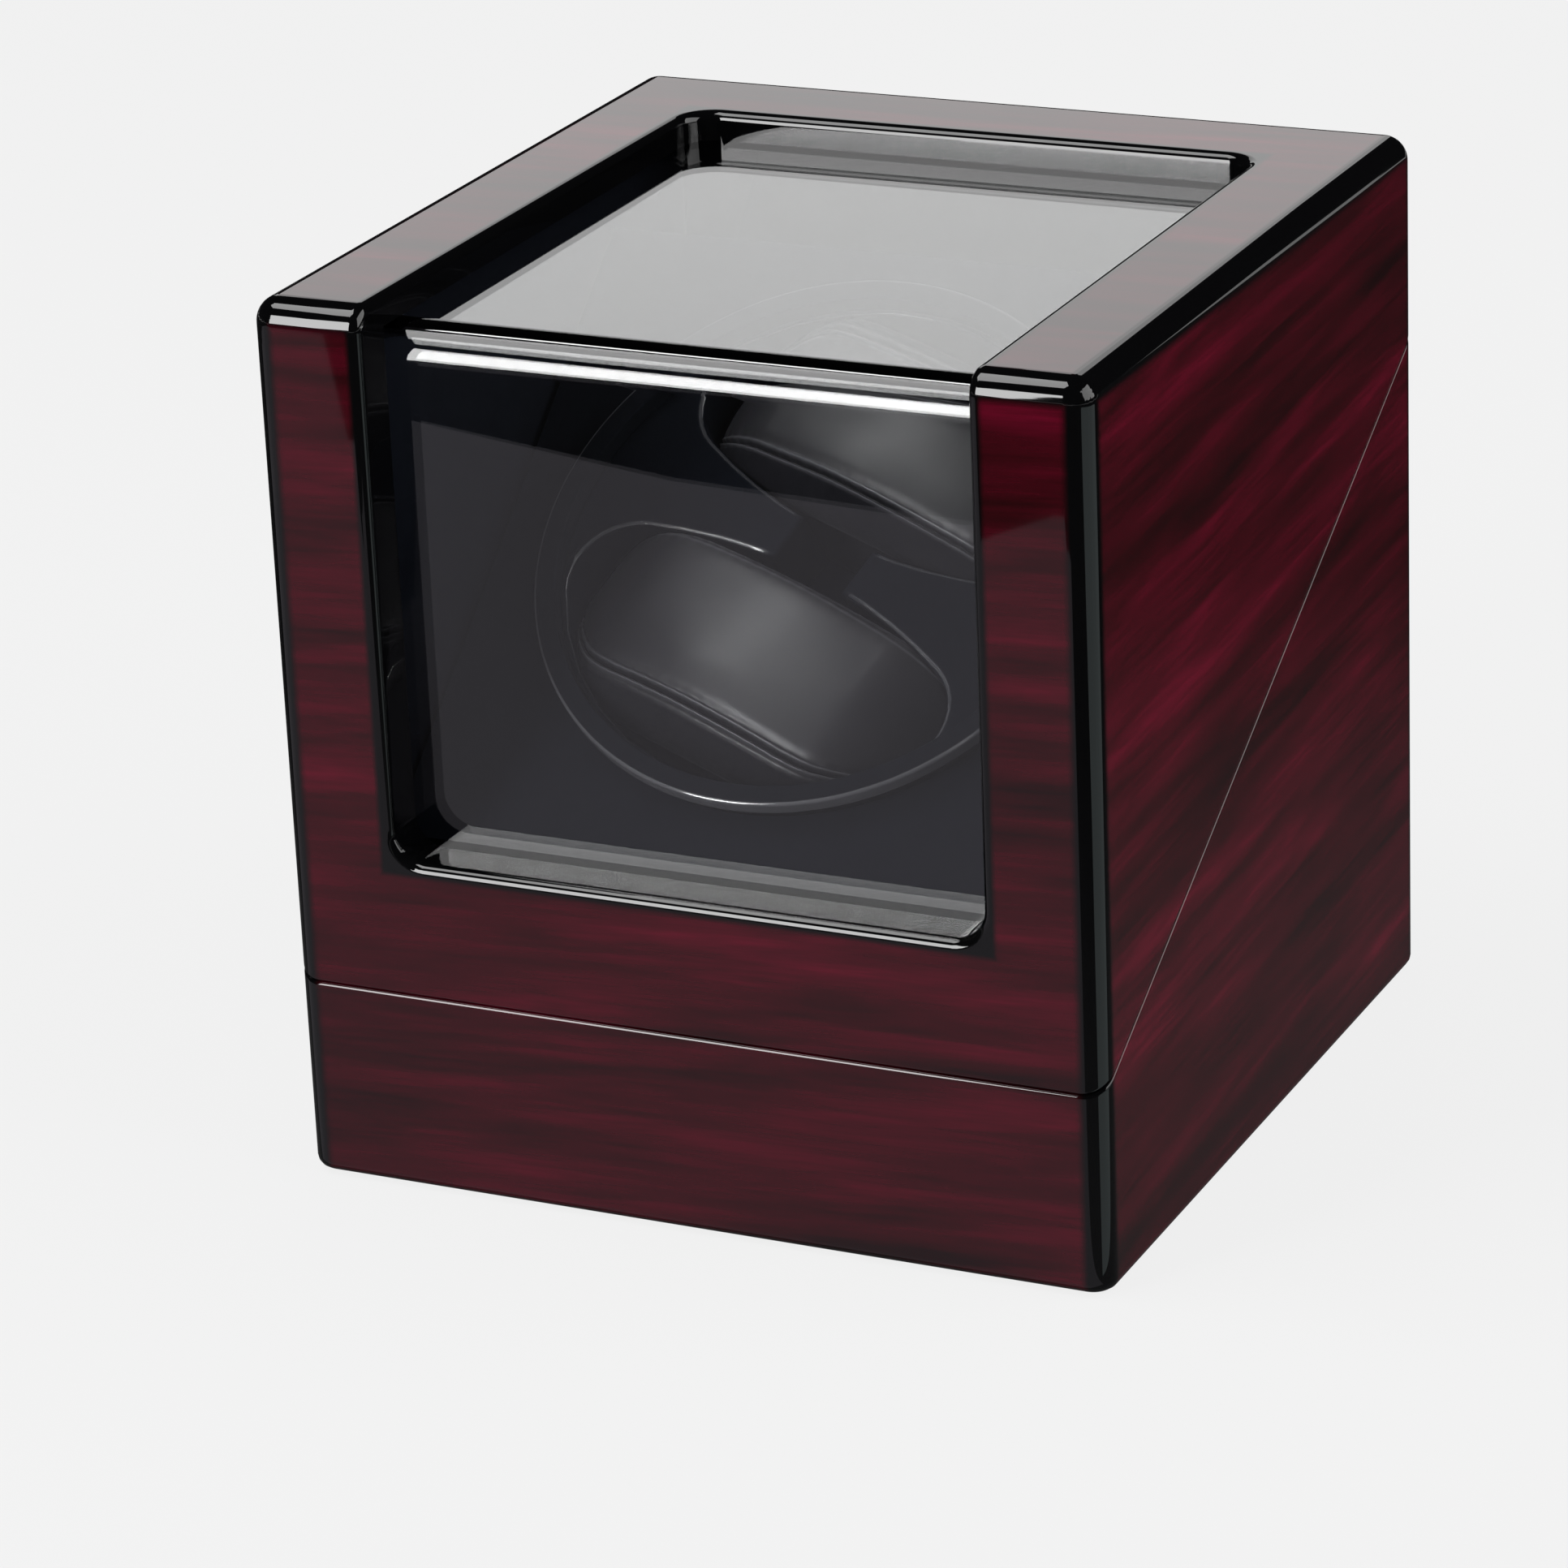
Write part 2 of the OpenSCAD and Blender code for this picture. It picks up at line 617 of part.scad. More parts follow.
function gear_points(teeth) =
    let (rp = gear_m * teeth / 2, rb = rp * cos(pressure), ra = rp + addendum * gear_m,
         rf = rp - dedendum * gear_m, half = 90 / teeth - backlash / 2 / rp * 90 / PI,
         shift = polar_angle(involute(rb, roll_at(rb, rp))) + half, t0 = roll_at(rb, max(rb, rf)),
         t1 = roll_at(rb, ra))
    [for (i = [0 : teeth - 1]) let (a = i * 360 / teeth) each concat(
        [turned([rf, 0], a - shift - (rf < rb ? 0 : root_turn))],
        [for (k = [0 : flank_steps])
            turned(involute(rb, t0 + (t1 - t0) * k / flank_steps), a - shift)],
        [for (k = [flank_steps : -1 : 0])
            let (p = involute(rb, t0 + (t1 - t0) * k / flank_steps)) turned([p[0], -p[1]], a + shift)],
        [turned([rf, 0], a + shift + (rf < rb ? 0 : root_turn))])];

module gear(teeth, low, high, bore) difference() {
    translate([0, 0, low]) linear_extrude(height = high - low) polygon(gear_points(teeth));
    disc(bore, low - cut, high + cut);
}

module drive_gear() color(c_white) in_ring() gear(gear_z, gear_low, hub_low, spindle_r + slack);

end_gap = 0.5;             // at the ends of the spindle and the output shaft
clip_groove = 0.6;
clip_w = 2.5;
clip_mouth = 2.4;
washer_w = 3;
flange_w = 2;
clip_high = bush_low - fit;
clip_low = clip_high - clip_t;

module spindle() color(c_steel) in_ring() difference() {
    disc(spindle_r, spindle_low, cup_floor - end_gap);
    difference() {
        disc(spindle_r + cut, clip_low, clip_high);
        disc(spindle_r - clip_groove, clip_low, clip_high);
    }
    disc(small_screw_r + slack, cup_floor - hub_screw_l - tip_gap, cup_floor);
}

module hub_screw() color(c_steel) in_ring() {
    disc(small_screw_r, cup_floor - hub_screw_l, cup_floor);
    disc(hub_screw_head_r, cup_floor, cup_floor + hub_screw_head_t);
}

module thrust_washer() color(c_white) in_ring() difference() {
    disc(spindle_r + washer_w, washer_low, gear_low);
    disc(spindle_r + run_fit, washer_low - cut, gear_low + cut);
}

module bearing_bush() color(c_brass) in_ring() difference() {
    union() {
        disc(bush_r + flange_w, flange_low, washer_low);
        disc(bush_r, bush_low, flange_low);
    }
    disc(spindle_r + run_fit, bush_low - cut, washer_low + cut);
}

module retaining_clip() color(c_steel) in_ring() difference() {
    disc(spindle_r + clip_w, clip_low, clip_high);
    disc(spindle_r - clip_groove + slack, clip_low - cut, clip_high + cut);
    box([-clip_mouth / 2, 0, clip_low - cut], [clip_mouth / 2, spindle_r + clip_w + cut, clip_high + cut]);
}

output_room = 2;           // around the output shaft in the drive plate
gearbox_floor = 3;
motor_boss_t = 1.5;
pinion_gap = 0.5;          // between the pinion and the hub
pinion_over = 0.2;         // how far the pinion runs below the drive gear

module plate_screw_places()
    for (x = [-1, 1], y = [-1, 1]) translate([x * plate_screw_x, y * plate_screw_v, 0]) children();
module motor_screw_places()
    translate([motor_x, 0, 0]) for (s = [-1, 1]) translate([0, s * motor_screw_v, 0]) children();

module drive_plate() color(c_steel) in_ring() difference() {
    box([-plate_x, -plate_l / 2, plate_low], [plate_x, plate_l / 2, flange_low]);
    disc(bush_r + slack, plate_low - cut, flange_low + cut);
    translate([motor_x, 0, 0]) disc(output_r + output_room, plate_low - cut, flange_low + cut);
    plate_screw_places() disc(wood_screw_r + slack, plate_low - cut, flange_low + cut);
    motor_screw_places() disc(small_screw_r + slack, plate_low - cut, flange_low + cut);
}

module plate_batten(side) color([0.75, 0.62, 0.45]) in_ring() difference() {
    mirror([side > 0 ? 0 : 1, 0, 0])
        box([plate_x - batten_w + fit, -plate_l / 2, plate_low - batten_w],
            [plate_x + fit, plate_l / 2, plate_low]);
    plate_screw_places() disc(wood_screw_r + slack, plate_low - batten_w + cut, plate_low + cut);
}

module plate_screws() color(c_steel) in_ring() plate_screw_places() {
    disc(wood_head_r, flange_low, flange_low + wood_head_t);
    disc(wood_screw_r, plate_low - batten_w + cut + tip_gap, flange_low);
}

module gearbox() color(c_steel) in_ring() translate([motor_x, 0, 0]) difference() {
    disc(gearbox_r, gearbox_low, plate_low);
    disc(output_r + run_fit, gearbox_low + gearbox_floor, plate_low + cut);
    for (s = [-1, 1]) translate([0, s * motor_screw_v, 0])
        disc(small_screw_r + slack, plate_low - motor_screw_l - tip_gap, plate_low + cut);
}

module motor_can() color(c_steel) in_ring() translate([motor_x, 0, 0]) {
    disc(motor_r, motor_low, gearbox_low);
    disc(motor_r / 3, motor_low - motor_boss_t, motor_low);
}

module output_shaft() color(c_steel) in_ring() translate([motor_x, 0, 0])
    disc(output_r, gearbox_low + gearbox_floor + end_gap, hub_low - pinion_gap);

module pinion() color(c_brass) in_ring() translate([motor_x, 0, 0]) rotate([0, 0, 180 / pinion_z])
        gear(pinion_z, gear_low - pinion_over, hub_low - pinion_gap, output_r + slack / 2);

module motor_screws() color(c_steel) in_ring() motor_screw_places() {
    disc(small_head_r, flange_low, flange_low + small_head_t);
    disc(small_screw_r, plate_low - motor_screw_l, flange_low);
}

// ---- controls and electronics ---------------------------------------------------------------

// frame with +z out of the back of the case, at the height of the controls
module at_back(y) translate([0, y, control_z]) rotate([-90, 0, 0]) children();
module standoff_places()
    for (x = [-1, 1], z = [-1, 1]) translate([x * standoff_x, z * standoff_z, 0]) children();

module control_plate() color(c_plastic) at_back(plate_in_y) difference() {
    union() {
        box([-control_w / 2 - control_lap, -control_h / 2 - control_lap, 0],
            [control_w / 2 + control_lap, control_h / 2 + control_lap, control_t]);
        standoff_places() disc(standoff_r, -standoff_l, 0);
    }
    translate([-control_x, 0, 0]) disc(selector_hole_r, -cut, control_t + cut);
    translate([control_x, 0, 0]) disc(inlet_r + slack, -cut, control_t + cut);
    both_sides(control_screw_x) disc(wood_screw_r + slack, -cut, control_t + cut);
    standoff_places() disc(small_screw_r + slack, -standoff_l - cut, -standoff_l + board_screw_l + tip_gap);
}

module control_screws() color(c_steel) at_back(plate_in_y) both_sides(control_screw_x) {
    disc(wood_head_r, -wood_head_t, 0);
    disc(wood_screw_r, 0, control_t + control_screw_l);
}

module circuit_board() color([0.08, 0.32, 0.14]) at_back(pcb_y) difference() {
    box([-pcb_w / 2, -pcb_h / 2, -pcb_t], [pcb_w / 2, pcb_h / 2, 0]);
    standoff_places() disc(small_screw_r + slack, -pcb_t - cut, cut);
}

module board_screws() color(c_steel) at_back(pcb_y) standoff_places() {
    disc(small_head_r, -pcb_t - small_head_t, -pcb_t);
    disc(small_screw_r, -pcb_t, board_screw_l);
}

module selector_switch() color(c_plastic) at_back(pcb_y) translate([-control_x, 0, 0]) difference() {
    box([-selector_body / 2, -selector_body / 2, 0],
        [selector_body / 2, selector_body / 2, selector_body_t]);
    disc(selector_hole_r, selector_floor, selector_body_t + cut);
}

knob_low = standoff_l + control_t + knob_gap;
knob_step = 1;
knob_top = 2;              // of the knob above its shaft
knob_flutes = 18;
flute_r = 0.8;
flute_out = 0.35;          // of a flute's middle beyond the knob
flute_rise = 1.5;
pointer_w = 1;
pointer_t = 1.2;

module selector_shaft() color(c_white) at_back(pcb_y) translate([-control_x, 0, 0])
    disc(selector_shaft_r, selector_floor + end_gap, knob_low + knob_h - knob_top);

module selector_knob() color(c_black) at_back(pcb_y) translate([-control_x, 0, 0]) difference() {
    union() {
        disc(knob_r, knob_low, knob_low + knob_h - knob_step);
        disc(knob_r - knob_step, knob_low + knob_h - knob_step, knob_low + knob_h);
    }
    disc(selector_shaft_r + slack, knob_low - cut, knob_low + knob_h - knob_top);
    box([-pointer_w / 2, -knob_r - cut, knob_low + knob_h - pointer_t],
        [pointer_w / 2, -knob_step, knob_low + knob_h + cut]);
    for (k = [1 : knob_flutes]) rotate([0, 0, k * 360 / knob_flutes])
        translate([knob_r + flute_out, 0, 0]) disc(flute_r, knob_low + flute_rise, knob_low + knob_h + cut);
}

inlet_gap = 0.3;           // between the inlet's body and the control plate
inlet_proud = 1;
inlet_face = standoff_l + control_t + inlet_proud;

module power_inlet() color(c_black) at_back(pcb_y) translate([control_x, 0, 0]) difference() {
    union() {
        box([-inlet_body / 2, -inlet_body / 2, 0],
            [inlet_body / 2, inlet_body / 2, standoff_l - inlet_gap]);
        disc(inlet_r, standoff_l - cut, inlet_face);
    }
    disc(socket_r, inlet_face - socket_depth, inlet_face + cut);
}

module inlet_contact() color(c_steel) at_back(pcb_y) translate([control_x, 0, 0])
    disc(pin_r, inlet_face - socket_depth, inlet_face - inlet_proud);

// parts on the inner side of the circuit board: their middles, widths and heights
chip_w = 8;
chip_h = 6;
chip_t = 1.8;
capacitor_r = 4;
capacitor_l = 7;
capacitor_at = [-14, 4];
lead_socket_w = 8;
lead_socket_h = 6;
lead_socket_t = 6;
lead_socket_at = [15, -7];

module on_board(at, t) at_back(pcb_y) translate([at[0], at[1], -pcb_t - t]) children();

module driver_chip() color(c_black) on_board([0, 0], chip_t)
    box([-chip_w / 2, -chip_h / 2, 0], [chip_w / 2, chip_h / 2, chip_t]);
module filter_capacitor() color(c_plastic) on_board(capacitor_at, capacitor_l)
    disc(capacitor_r, 0, capacitor_l);
module lead_socket() color(c_white) on_board(lead_socket_at, lead_socket_t)
    box([-lead_socket_w / 2, -lead_socket_h / 2, 0], [lead_socket_w / 2, lead_socket_h / 2, lead_socket_t]);

// two-core lead from the end of the motor to its socket on the circuit board: a tube swept
// along a curve that leaves the motor down its axis and meets the socket from inside the case
lead_r = 1.2;
lead_sides = 8;
lead_steps = 8;
lead_reach = 10;
lead_from = [motor_x + motor_r * 0.6, ring_world(0, motor_low)[0], ring_world(0, motor_low)[1]];
lead_to = [lead_socket_at[0], pcb_y - pcb_t - lead_socket_t, control_z - lead_socket_at[1]];
lead_leave = lead_from + lead_reach * [0, sin(tilt), -cos(tilt)];
lead_meet = lead_to - lead_reach * [0, 1, 0];
function on_lead(t) = pow(1 - t, 3) * lead_from + 3 * pow(1 - t, 2) * t * lead_leave
    + 3 * (1 - t) * t * t * lead_meet + pow(t, 3) * lead_to;
lead_route = [for (k = [0 : lead_steps]) on_lead(k / lead_steps)];
function unit(v) = v / norm(v);
function heading(k) = unit(k == 0 ? lead_leave - lead_from
    : k == lead_steps ? lead_to - lead_meet : lead_route[k + 1] - lead_route[k - 1]);
lead_points = [for (k = [0 : lead_steps]) let (side = unit(cross(heading(k), [0, 0, 1])),
        up = cross(side, heading(k)))
    for (i = [0 : lead_sides - 1]) let (a = i * 360 / lead_sides)
        lead_route[k] + lead_r * (side * cos(a) + up * sin(a))];
lead_end = lead_steps * lead_sides;
lead_faces = concat([[for (i = [lead_sides - 1 : -1 : 0]) i]],
    [[for (i = [0 : lead_sides - 1]) lead_end + i]],
    [for (k = [0 : lead_steps - 1], i = [0 : lead_sides - 1])
        let (a = k * lead_sides + i, b = k * lead_sides + (i + 1) % lead_sides)
            each [[a, b, b + lead_sides], [a, b + lead_sides, a + lead_sides]]]);

module motor_lead() color([0.75, 0.1, 0.08]) polyhedron(lead_points, lead_faces);

base_shell();
bottom_board();
base_felt();
bottom_screws();
lid_shell();
window_pane();
lid_lining(-1);  // lid_lining_left
lid_lining(1);  // lid_lining_right
lid_magnets();
striker_discs();
seam_bumpers();
hinge_base_leaf(-1);  // hinge_base_leaf_left
hinge_lid_leaf(-1);  // hinge_lid_leaf_left
hinge_pin(-1);  // hinge_pin_left
hinge_base_leaf(1);  // hinge_base_leaf_right
hinge_lid_leaf(1);  // hinge_lid_leaf_right
hinge_pin(1);  // hinge_pin_right
hinge_base_screws();
hinge_lid_screws();
deck_panel();
deck_front_board();
deck_cheek(-1);  // deck_cheek_left
deck_cheek(1);  // deck_cheek_right
deck_rear_board();
turntable_cup();
pocket_insert();
pillow(180);  // pillow_lower
pillow(0);  // pillow_upper
spindle();
hub_screw();
drive_gear();
thrust_washer();
bearing_bush();
retaining_clip();
drive_plate();
plate_batten(-1);  // plate_batten_left
plate_batten(1);  // plate_batten_right
plate_screws();
gearbox();
motor_can();
output_shaft();
pinion();
motor_screws();
control_plate();
control_screws();
circuit_board();
board_screws();
selector_switch();
selector_shaft();
selector_knob();
power_inlet();
inlet_contact();
driver_chip();
filter_capacitor();
lead_socket();
motor_lead();
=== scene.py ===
# %% [markdown]
# # A two-watch winder in lacquered wood
# The real object is a box whose lid lifts on two hinges. Behind a bent clear window a round
# turntable leans back at forty degrees and turns two velvet watch pillows. The exact parts come
# from a CAD model, which gives every piece its place. This script dresses them: it rounds the
# edges that catch the light, pads the pillows, and gives each piece its finish.

# %% Load the frame
import json
import math

import bmesh
import bpy
import numpy as np
from mathutils import Matrix, Vector


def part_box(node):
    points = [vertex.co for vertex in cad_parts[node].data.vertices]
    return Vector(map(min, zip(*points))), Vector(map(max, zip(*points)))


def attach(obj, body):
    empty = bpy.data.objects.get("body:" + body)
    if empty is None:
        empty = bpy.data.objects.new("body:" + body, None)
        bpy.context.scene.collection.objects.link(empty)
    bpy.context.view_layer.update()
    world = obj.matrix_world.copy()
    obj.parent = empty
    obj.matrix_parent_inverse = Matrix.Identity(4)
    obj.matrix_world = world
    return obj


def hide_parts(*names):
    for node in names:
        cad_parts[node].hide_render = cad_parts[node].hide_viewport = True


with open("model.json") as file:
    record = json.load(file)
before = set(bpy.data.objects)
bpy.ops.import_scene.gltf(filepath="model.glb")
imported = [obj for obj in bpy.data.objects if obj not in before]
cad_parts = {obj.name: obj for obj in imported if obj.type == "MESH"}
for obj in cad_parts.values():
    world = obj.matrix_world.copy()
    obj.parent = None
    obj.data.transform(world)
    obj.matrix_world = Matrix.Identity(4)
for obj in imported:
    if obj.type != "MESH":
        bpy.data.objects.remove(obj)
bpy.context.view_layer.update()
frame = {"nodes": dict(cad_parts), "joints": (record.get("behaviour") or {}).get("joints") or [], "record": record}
nodes = frame["nodes"]
MM = 0.001

# %% [markdown]
# ## The camera
# The box is seen from its right front corner and from a little above. A long lens keeps its
# upright edges nearly parallel. The camera is placed by its position and by the direction that
# it looks in, and it leans by a few degrees, so its three axes are worked out as vectors.

# %% Camera
camera_place = Vector((0.4592, -0.9919, 0.4851))
looking = Vector((-0.40372, 0.83942, -0.36384)).normalized()
lean = math.radians(-2.46)

level = looking.cross(Vector((0, 0, 1))).normalized()
upright = level.cross(looking)
camera_right = math.cos(lean) * level + math.sin(lean) * upright
camera_up = math.cos(lean) * upright - math.sin(lean) * level

camera = bpy.data.objects.new("camera", bpy.data.cameras.new("camera"))
camera.data.sensor_width = 36
camera.data.lens = 143.24
camera.data.clip_start = 0.05
turn = Matrix((camera_right, camera_up, -looking)).transposed().to_4x4()
camera.matrix_world = Matrix.Translation(camera_place) @ turn
bpy.context.scene.collection.objects.link(camera)
bpy.context.scene.camera = camera
bpy.context.scene.view_settings.view_transform = "Standard"
print("camera at", tuple(camera_place), "with a lens of", camera.data.lens, "mm")

# %% [markdown]
# ## Wiring materials
# A material is a graph of nodes. Made by hand, each node takes several lines, so short helpers
# do it. They add a node and fill its inputs with values or links, do sums, raise a value
# smoothly between two limits, mix two colours, turn a value into a colour through a ramp, and
# build a node group or place one. Those that work out a value or a colour give back its output.

# %% Node helpers
def fill(tree, made, inputs):
    """Give inputs their values: a number, a colour, or another node's output."""
    for key, value in (inputs or {}).items():
        if isinstance(value, bpy.types.NodeSocket):
            tree.links.new(value, made.inputs[key])
        else:
            made.inputs[key].default_value = value
    return made


def node(tree, kind, inputs=None, **settings):
    """Add a node, choose its settings and give its inputs their values."""
    made = tree.nodes.new(kind)
    for key, value in settings.items():
        setattr(made, key, value)
    return fill(tree, made, inputs)


def first_node(tree, kind):
    """The node of a kind that a material has once."""
    return next(n for n in tree.nodes if n.type == kind)


def sum_of(tree, operation, *values):
    """One step of arithmetic on numbers or outputs."""
    made = node(tree, "ShaderNodeMath", dict(enumerate(values)), operation=operation)
    return made.outputs[0]


def rise(tree, value, low, high, start=0.0, end=1.0):
    """Smooth step: start below low, end above high."""
    ramp = node(tree, "ShaderNodeMapRange", interpolation_type="SMOOTHSTEP",
                inputs={"Value": value, "From Min": low, "From Max": high,
                        "To Min": start, "To Max": end})
    return ramp.outputs[0]


def mix_colour(tree, share, first, second):
    """First colour where the share is 0, second where it is 1."""
    made = node(tree, "ShaderNodeMix", {0: share, 6: first, 7: second}, data_type="RGBA")
    return made.outputs[2]


def colour_ramp(tree, value, *stops):
    """Colour by value; each stop is a value and its colour."""
    made = node(tree, "ShaderNodeValToRGB", {"Fac": value})
    points = made.color_ramp.elements
    while len(points) < len(stops):
        points.new(0.5)
    for point, (place, colour) in zip(points, stops):
        point.position = place
        point.color = (*colour, 1)
    return made.outputs[0]


def noise(tree, vector, scale, detail=3.0, rough=0.5, distort=0.0):
    """Soft noise around a half, with so many waves to a metre as the scale says."""
    made = node(tree, "ShaderNodeTexNoise", {"Vector": vector, "Scale": scale, "Detail": detail,
                                             "Roughness": rough, "Distortion": distort})
    return made.outputs["Fac"]


def stretched(tree, vector, scale):
    """Vector with each part multiplied by its own scale."""
    made = node(tree, "ShaderNodeVectorMath", {0: vector, 1: scale}, operation="MULTIPLY")
    return made.outputs[0]


def group(name, inputs, outputs):
    """An empty shader node group with named sockets; returns its tree, input and output node."""
    tree = bpy.data.node_groups.new(name, "ShaderNodeTree")
    for label, kind, value in inputs:
        socket = tree.interface.new_socket(label, in_out="INPUT", socket_type=kind)
        if value is not None:
            socket.default_value = value
    for label, kind in outputs:
        tree.interface.new_socket(label, in_out="OUTPUT", socket_type=kind)
    return tree, tree.nodes.new("NodeGroupInput"), tree.nodes.new("NodeGroupOutput")


def use(tree, made_group, inputs):
    """Place a node group in a material with its own values."""
    made = tree.nodes.new("ShaderNodeGroup")
    made.node_tree = made_group
    return fill(tree, made, inputs)


# %% [markdown]
# ## The set
# Polished lacquer shows its surroundings more than its own colour, so the set is part of the
# finish. The floor is a pale plane that also takes the shadow of the box. A photographer keeps
# the rest of the room dark and lays cards just outside the picture; here a dark tent, a dark
# ground and two cards do this, and mirror and glass rays alone see them. The ground and the two
# cards glow with set brightnesses that no lamp gives them: they are painted reflections of lit
# surroundings. Four soft panels light the box: one behind it, which the top mirrors, a tall
# one in front and to the left, which draws the white lines on the rounded edges, one overhead,
# and a wide weak one to the right.

# %% Floor, tent and cards
def sheet_mesh(name, corners):
    """One flat face with the given corners."""
    mesh = bpy.data.meshes.new(name)
    mesh.from_pydata(corners, [], [tuple(range(len(corners)))])
    made = bpy.data.objects.new(name, mesh)
    bpy.context.scene.collection.objects.link(made)
    return made


def square(half, height=0.0):
    """Corners of a level square round the box."""
    return [(-half, -half, height), (half, -half, height), (half, half, height),
            (-half, half, height)]


def glow(name, colour):
    """A material that shines evenly with one colour."""
    made = bpy.data.materials.new(name)
    made.use_nodes = True
    tree = made.node_tree
    tree.nodes.clear()
    light = node(tree, "ShaderNodeEmission", {"Color": (*colour, 1), "Strength": 1.0})
    out = node(tree, "ShaderNodeOutputMaterial")
    tree.links.new(light.outputs[0], out.inputs["Surface"])
    return made


def seen_rays(tree):
    """1 for the rays that show a background: camera, mirror and glass rays."""
    path = node(tree, "ShaderNodeLightPath")
    mirror = sum_of(tree, "MAXIMUM", path.outputs["Is Camera Ray"], path.outputs["Is Glossy Ray"])
    return sum_of(tree, "MAXIMUM", mirror, path.outputs["Is Transmission Ray"])


pale = (0.893, 0.893, 0.893, 1)
pale_share = 0.93  # the rest of the floor's look is matte, and carries the shadow of the box
floor = sheet_mesh("floor", square(3.0))
floor_paint = bpy.data.materials.new("pale_floor")
floor_paint.use_nodes = True
tree = floor_paint.node_tree
tree.nodes.clear()
matte = node(tree, "ShaderNodeBsdfDiffuse", {"Color": (0.8, 0.8, 0.8, 1)})
shine = node(tree, "ShaderNodeEmission", {"Color": pale, "Strength": 1.0})
both = node(tree, "ShaderNodeMixShader",
            {0: sum_of(tree, "MULTIPLY", seen_rays(tree), pale_share)})
tree.links.new(matte.outputs[0], both.inputs[1])
tree.links.new(shine.outputs[0], both.inputs[2])
out = node(tree, "ShaderNodeOutputMaterial")
tree.links.new(both.outputs[0], out.inputs["Surface"])
floor.data.materials.append(floor_paint)


def reflection_only(card, material):
    """Let mirror and glass rays alone see a card, as if it stood outside the picture."""
    card.data.materials.append(material)
    card.visible_camera = False
    card.visible_diffuse = False
    card.visible_volume_scatter = False
    card.visible_shadow = False


tent_radius = 2.8
ground_height, card_height, edge_card_height = 0.4 * MM, 0.8 * MM, 1.2 * MM
bpy.ops.mesh.primitive_uv_sphere_add(segments=32, ring_count=16, radius=tent_radius)
tent = bpy.context.object
tent.name = tent.data.name = "dark_tent"
reflection_only(tent, glow("tent_cloth", (0.010, 0.010, 0.011)))

# The ground's glow, a painted reflection, is brightest beside the box and fades outwards.
near, far, near_glow, far_glow = 0.09, 0.38, 0.095, 0.022
dark_ground = sheet_mesh("dark_ground", square(1.8, ground_height))
ground_glow_sheet = glow("ground_glow_sheet", (0.9, 0.9, 0.92))
tree = ground_glow_sheet.node_tree
reach = node(tree, "ShaderNodeVectorMath", {0: node(tree, "ShaderNodeTexCoord").outputs["Object"]},
             operation="LENGTH")
fill(tree, first_node(tree, "EMISSION"),
     {"Strength": rise(tree, reach.outputs["Value"], near, far, near_glow, far_glow)})
reflection_only(dark_ground, ground_glow_sheet)
card_outline = [(-0.60, -0.555), (-0.33, -0.545), (-0.28, -0.468), (-0.19, -0.444),
                (-0.107, -0.436), (-0.09, -0.468), (0.10, -0.468), (0.082, -0.0815),
                (-0.60, -0.0815)]
# Both cards glow: painted reflections that no lamp lights.
table_card = sheet_mesh("table_card", [(x, y, card_height) for x, y in card_outline])
reflection_only(table_card, glow("table_card_glow", (0.31, 0.295, 0.325)))
edge_outline = [(0.084, -0.083), (0.62, -0.40), (0.64, 0.21)]
edge_card = sheet_mesh("edge_card", [(x, y, edge_card_height) for x, y in edge_outline])
reflection_only(edge_card, glow("edge_card_glow", (0.52, 0.60, 0.60)))
print("set:", [piece.name for piece in (floor, tent, dark_ground, table_card, edge_card)])


# %% World and soft panels
def soft_panel(name, place, aim, width, height, radiance):
    """Area lamp of a given brightness: power = radiance x pi x area."""
    lamp = bpy.data.lights.new(name, "AREA")
    lamp.shape = "RECTANGLE"
    lamp.size, lamp.size_y = width, height
    lamp.energy = radiance * math.pi * width * height
    made = bpy.data.objects.new(name, lamp)
    place, aim = Vector(place), Vector(aim)
    made.matrix_world = (Matrix.Translation(place)
                         @ (aim - place).to_track_quat("-Z", "Y").to_matrix().to_4x4())
    bpy.context.scene.collection.objects.link(made)
    return made


soft_panel("back_panel", (-0.66, 1.44, 0.78), aim=(0, 0.02, 0.17), width=1.1, height=0.56,
           radiance=1.28)
soft_panel("front_panel", (-0.60, -1.22, 0.50), aim=(0, -0.07, 0.13), width=0.36, height=0.72,
           radiance=13.0)
soft_panel("top_panel", (-0.66, -0.40, 1.66), aim=(0, -0.02, 0.1), width=0.8, height=0.8,
           radiance=6.0)
soft_panel("right_panel", (1.45, 0.20, 0.85), aim=(0.08, 0, 0.09), width=1.6, height=1.2,
           radiance=2.9)

dim_room = (0.30, 0.30, 0.31, 1)
world = bpy.data.worlds.new("room")
bpy.context.scene.world = world
world.use_nodes = True
tree = world.node_tree
tree.nodes.clear()
room_light = mix_colour(tree, seen_rays(tree), dim_room, pale)
sky = node(tree, "ShaderNodeBackground", {"Color": room_light, "Strength": 1.0})
out = node(tree, "ShaderNodeOutputWorld")
tree.links.new(sky.outputs[0], out.inputs["Surface"])

# %% [markdown]
# ## Shared effects
# Real finishes are never even. One node group gives any surface a faint change of gloss and a
# fine relief, and another gives cloth its nap: short fibres that lie in drifts and scatter the
# light. Each material places these groups with its own scale, so they are built once.

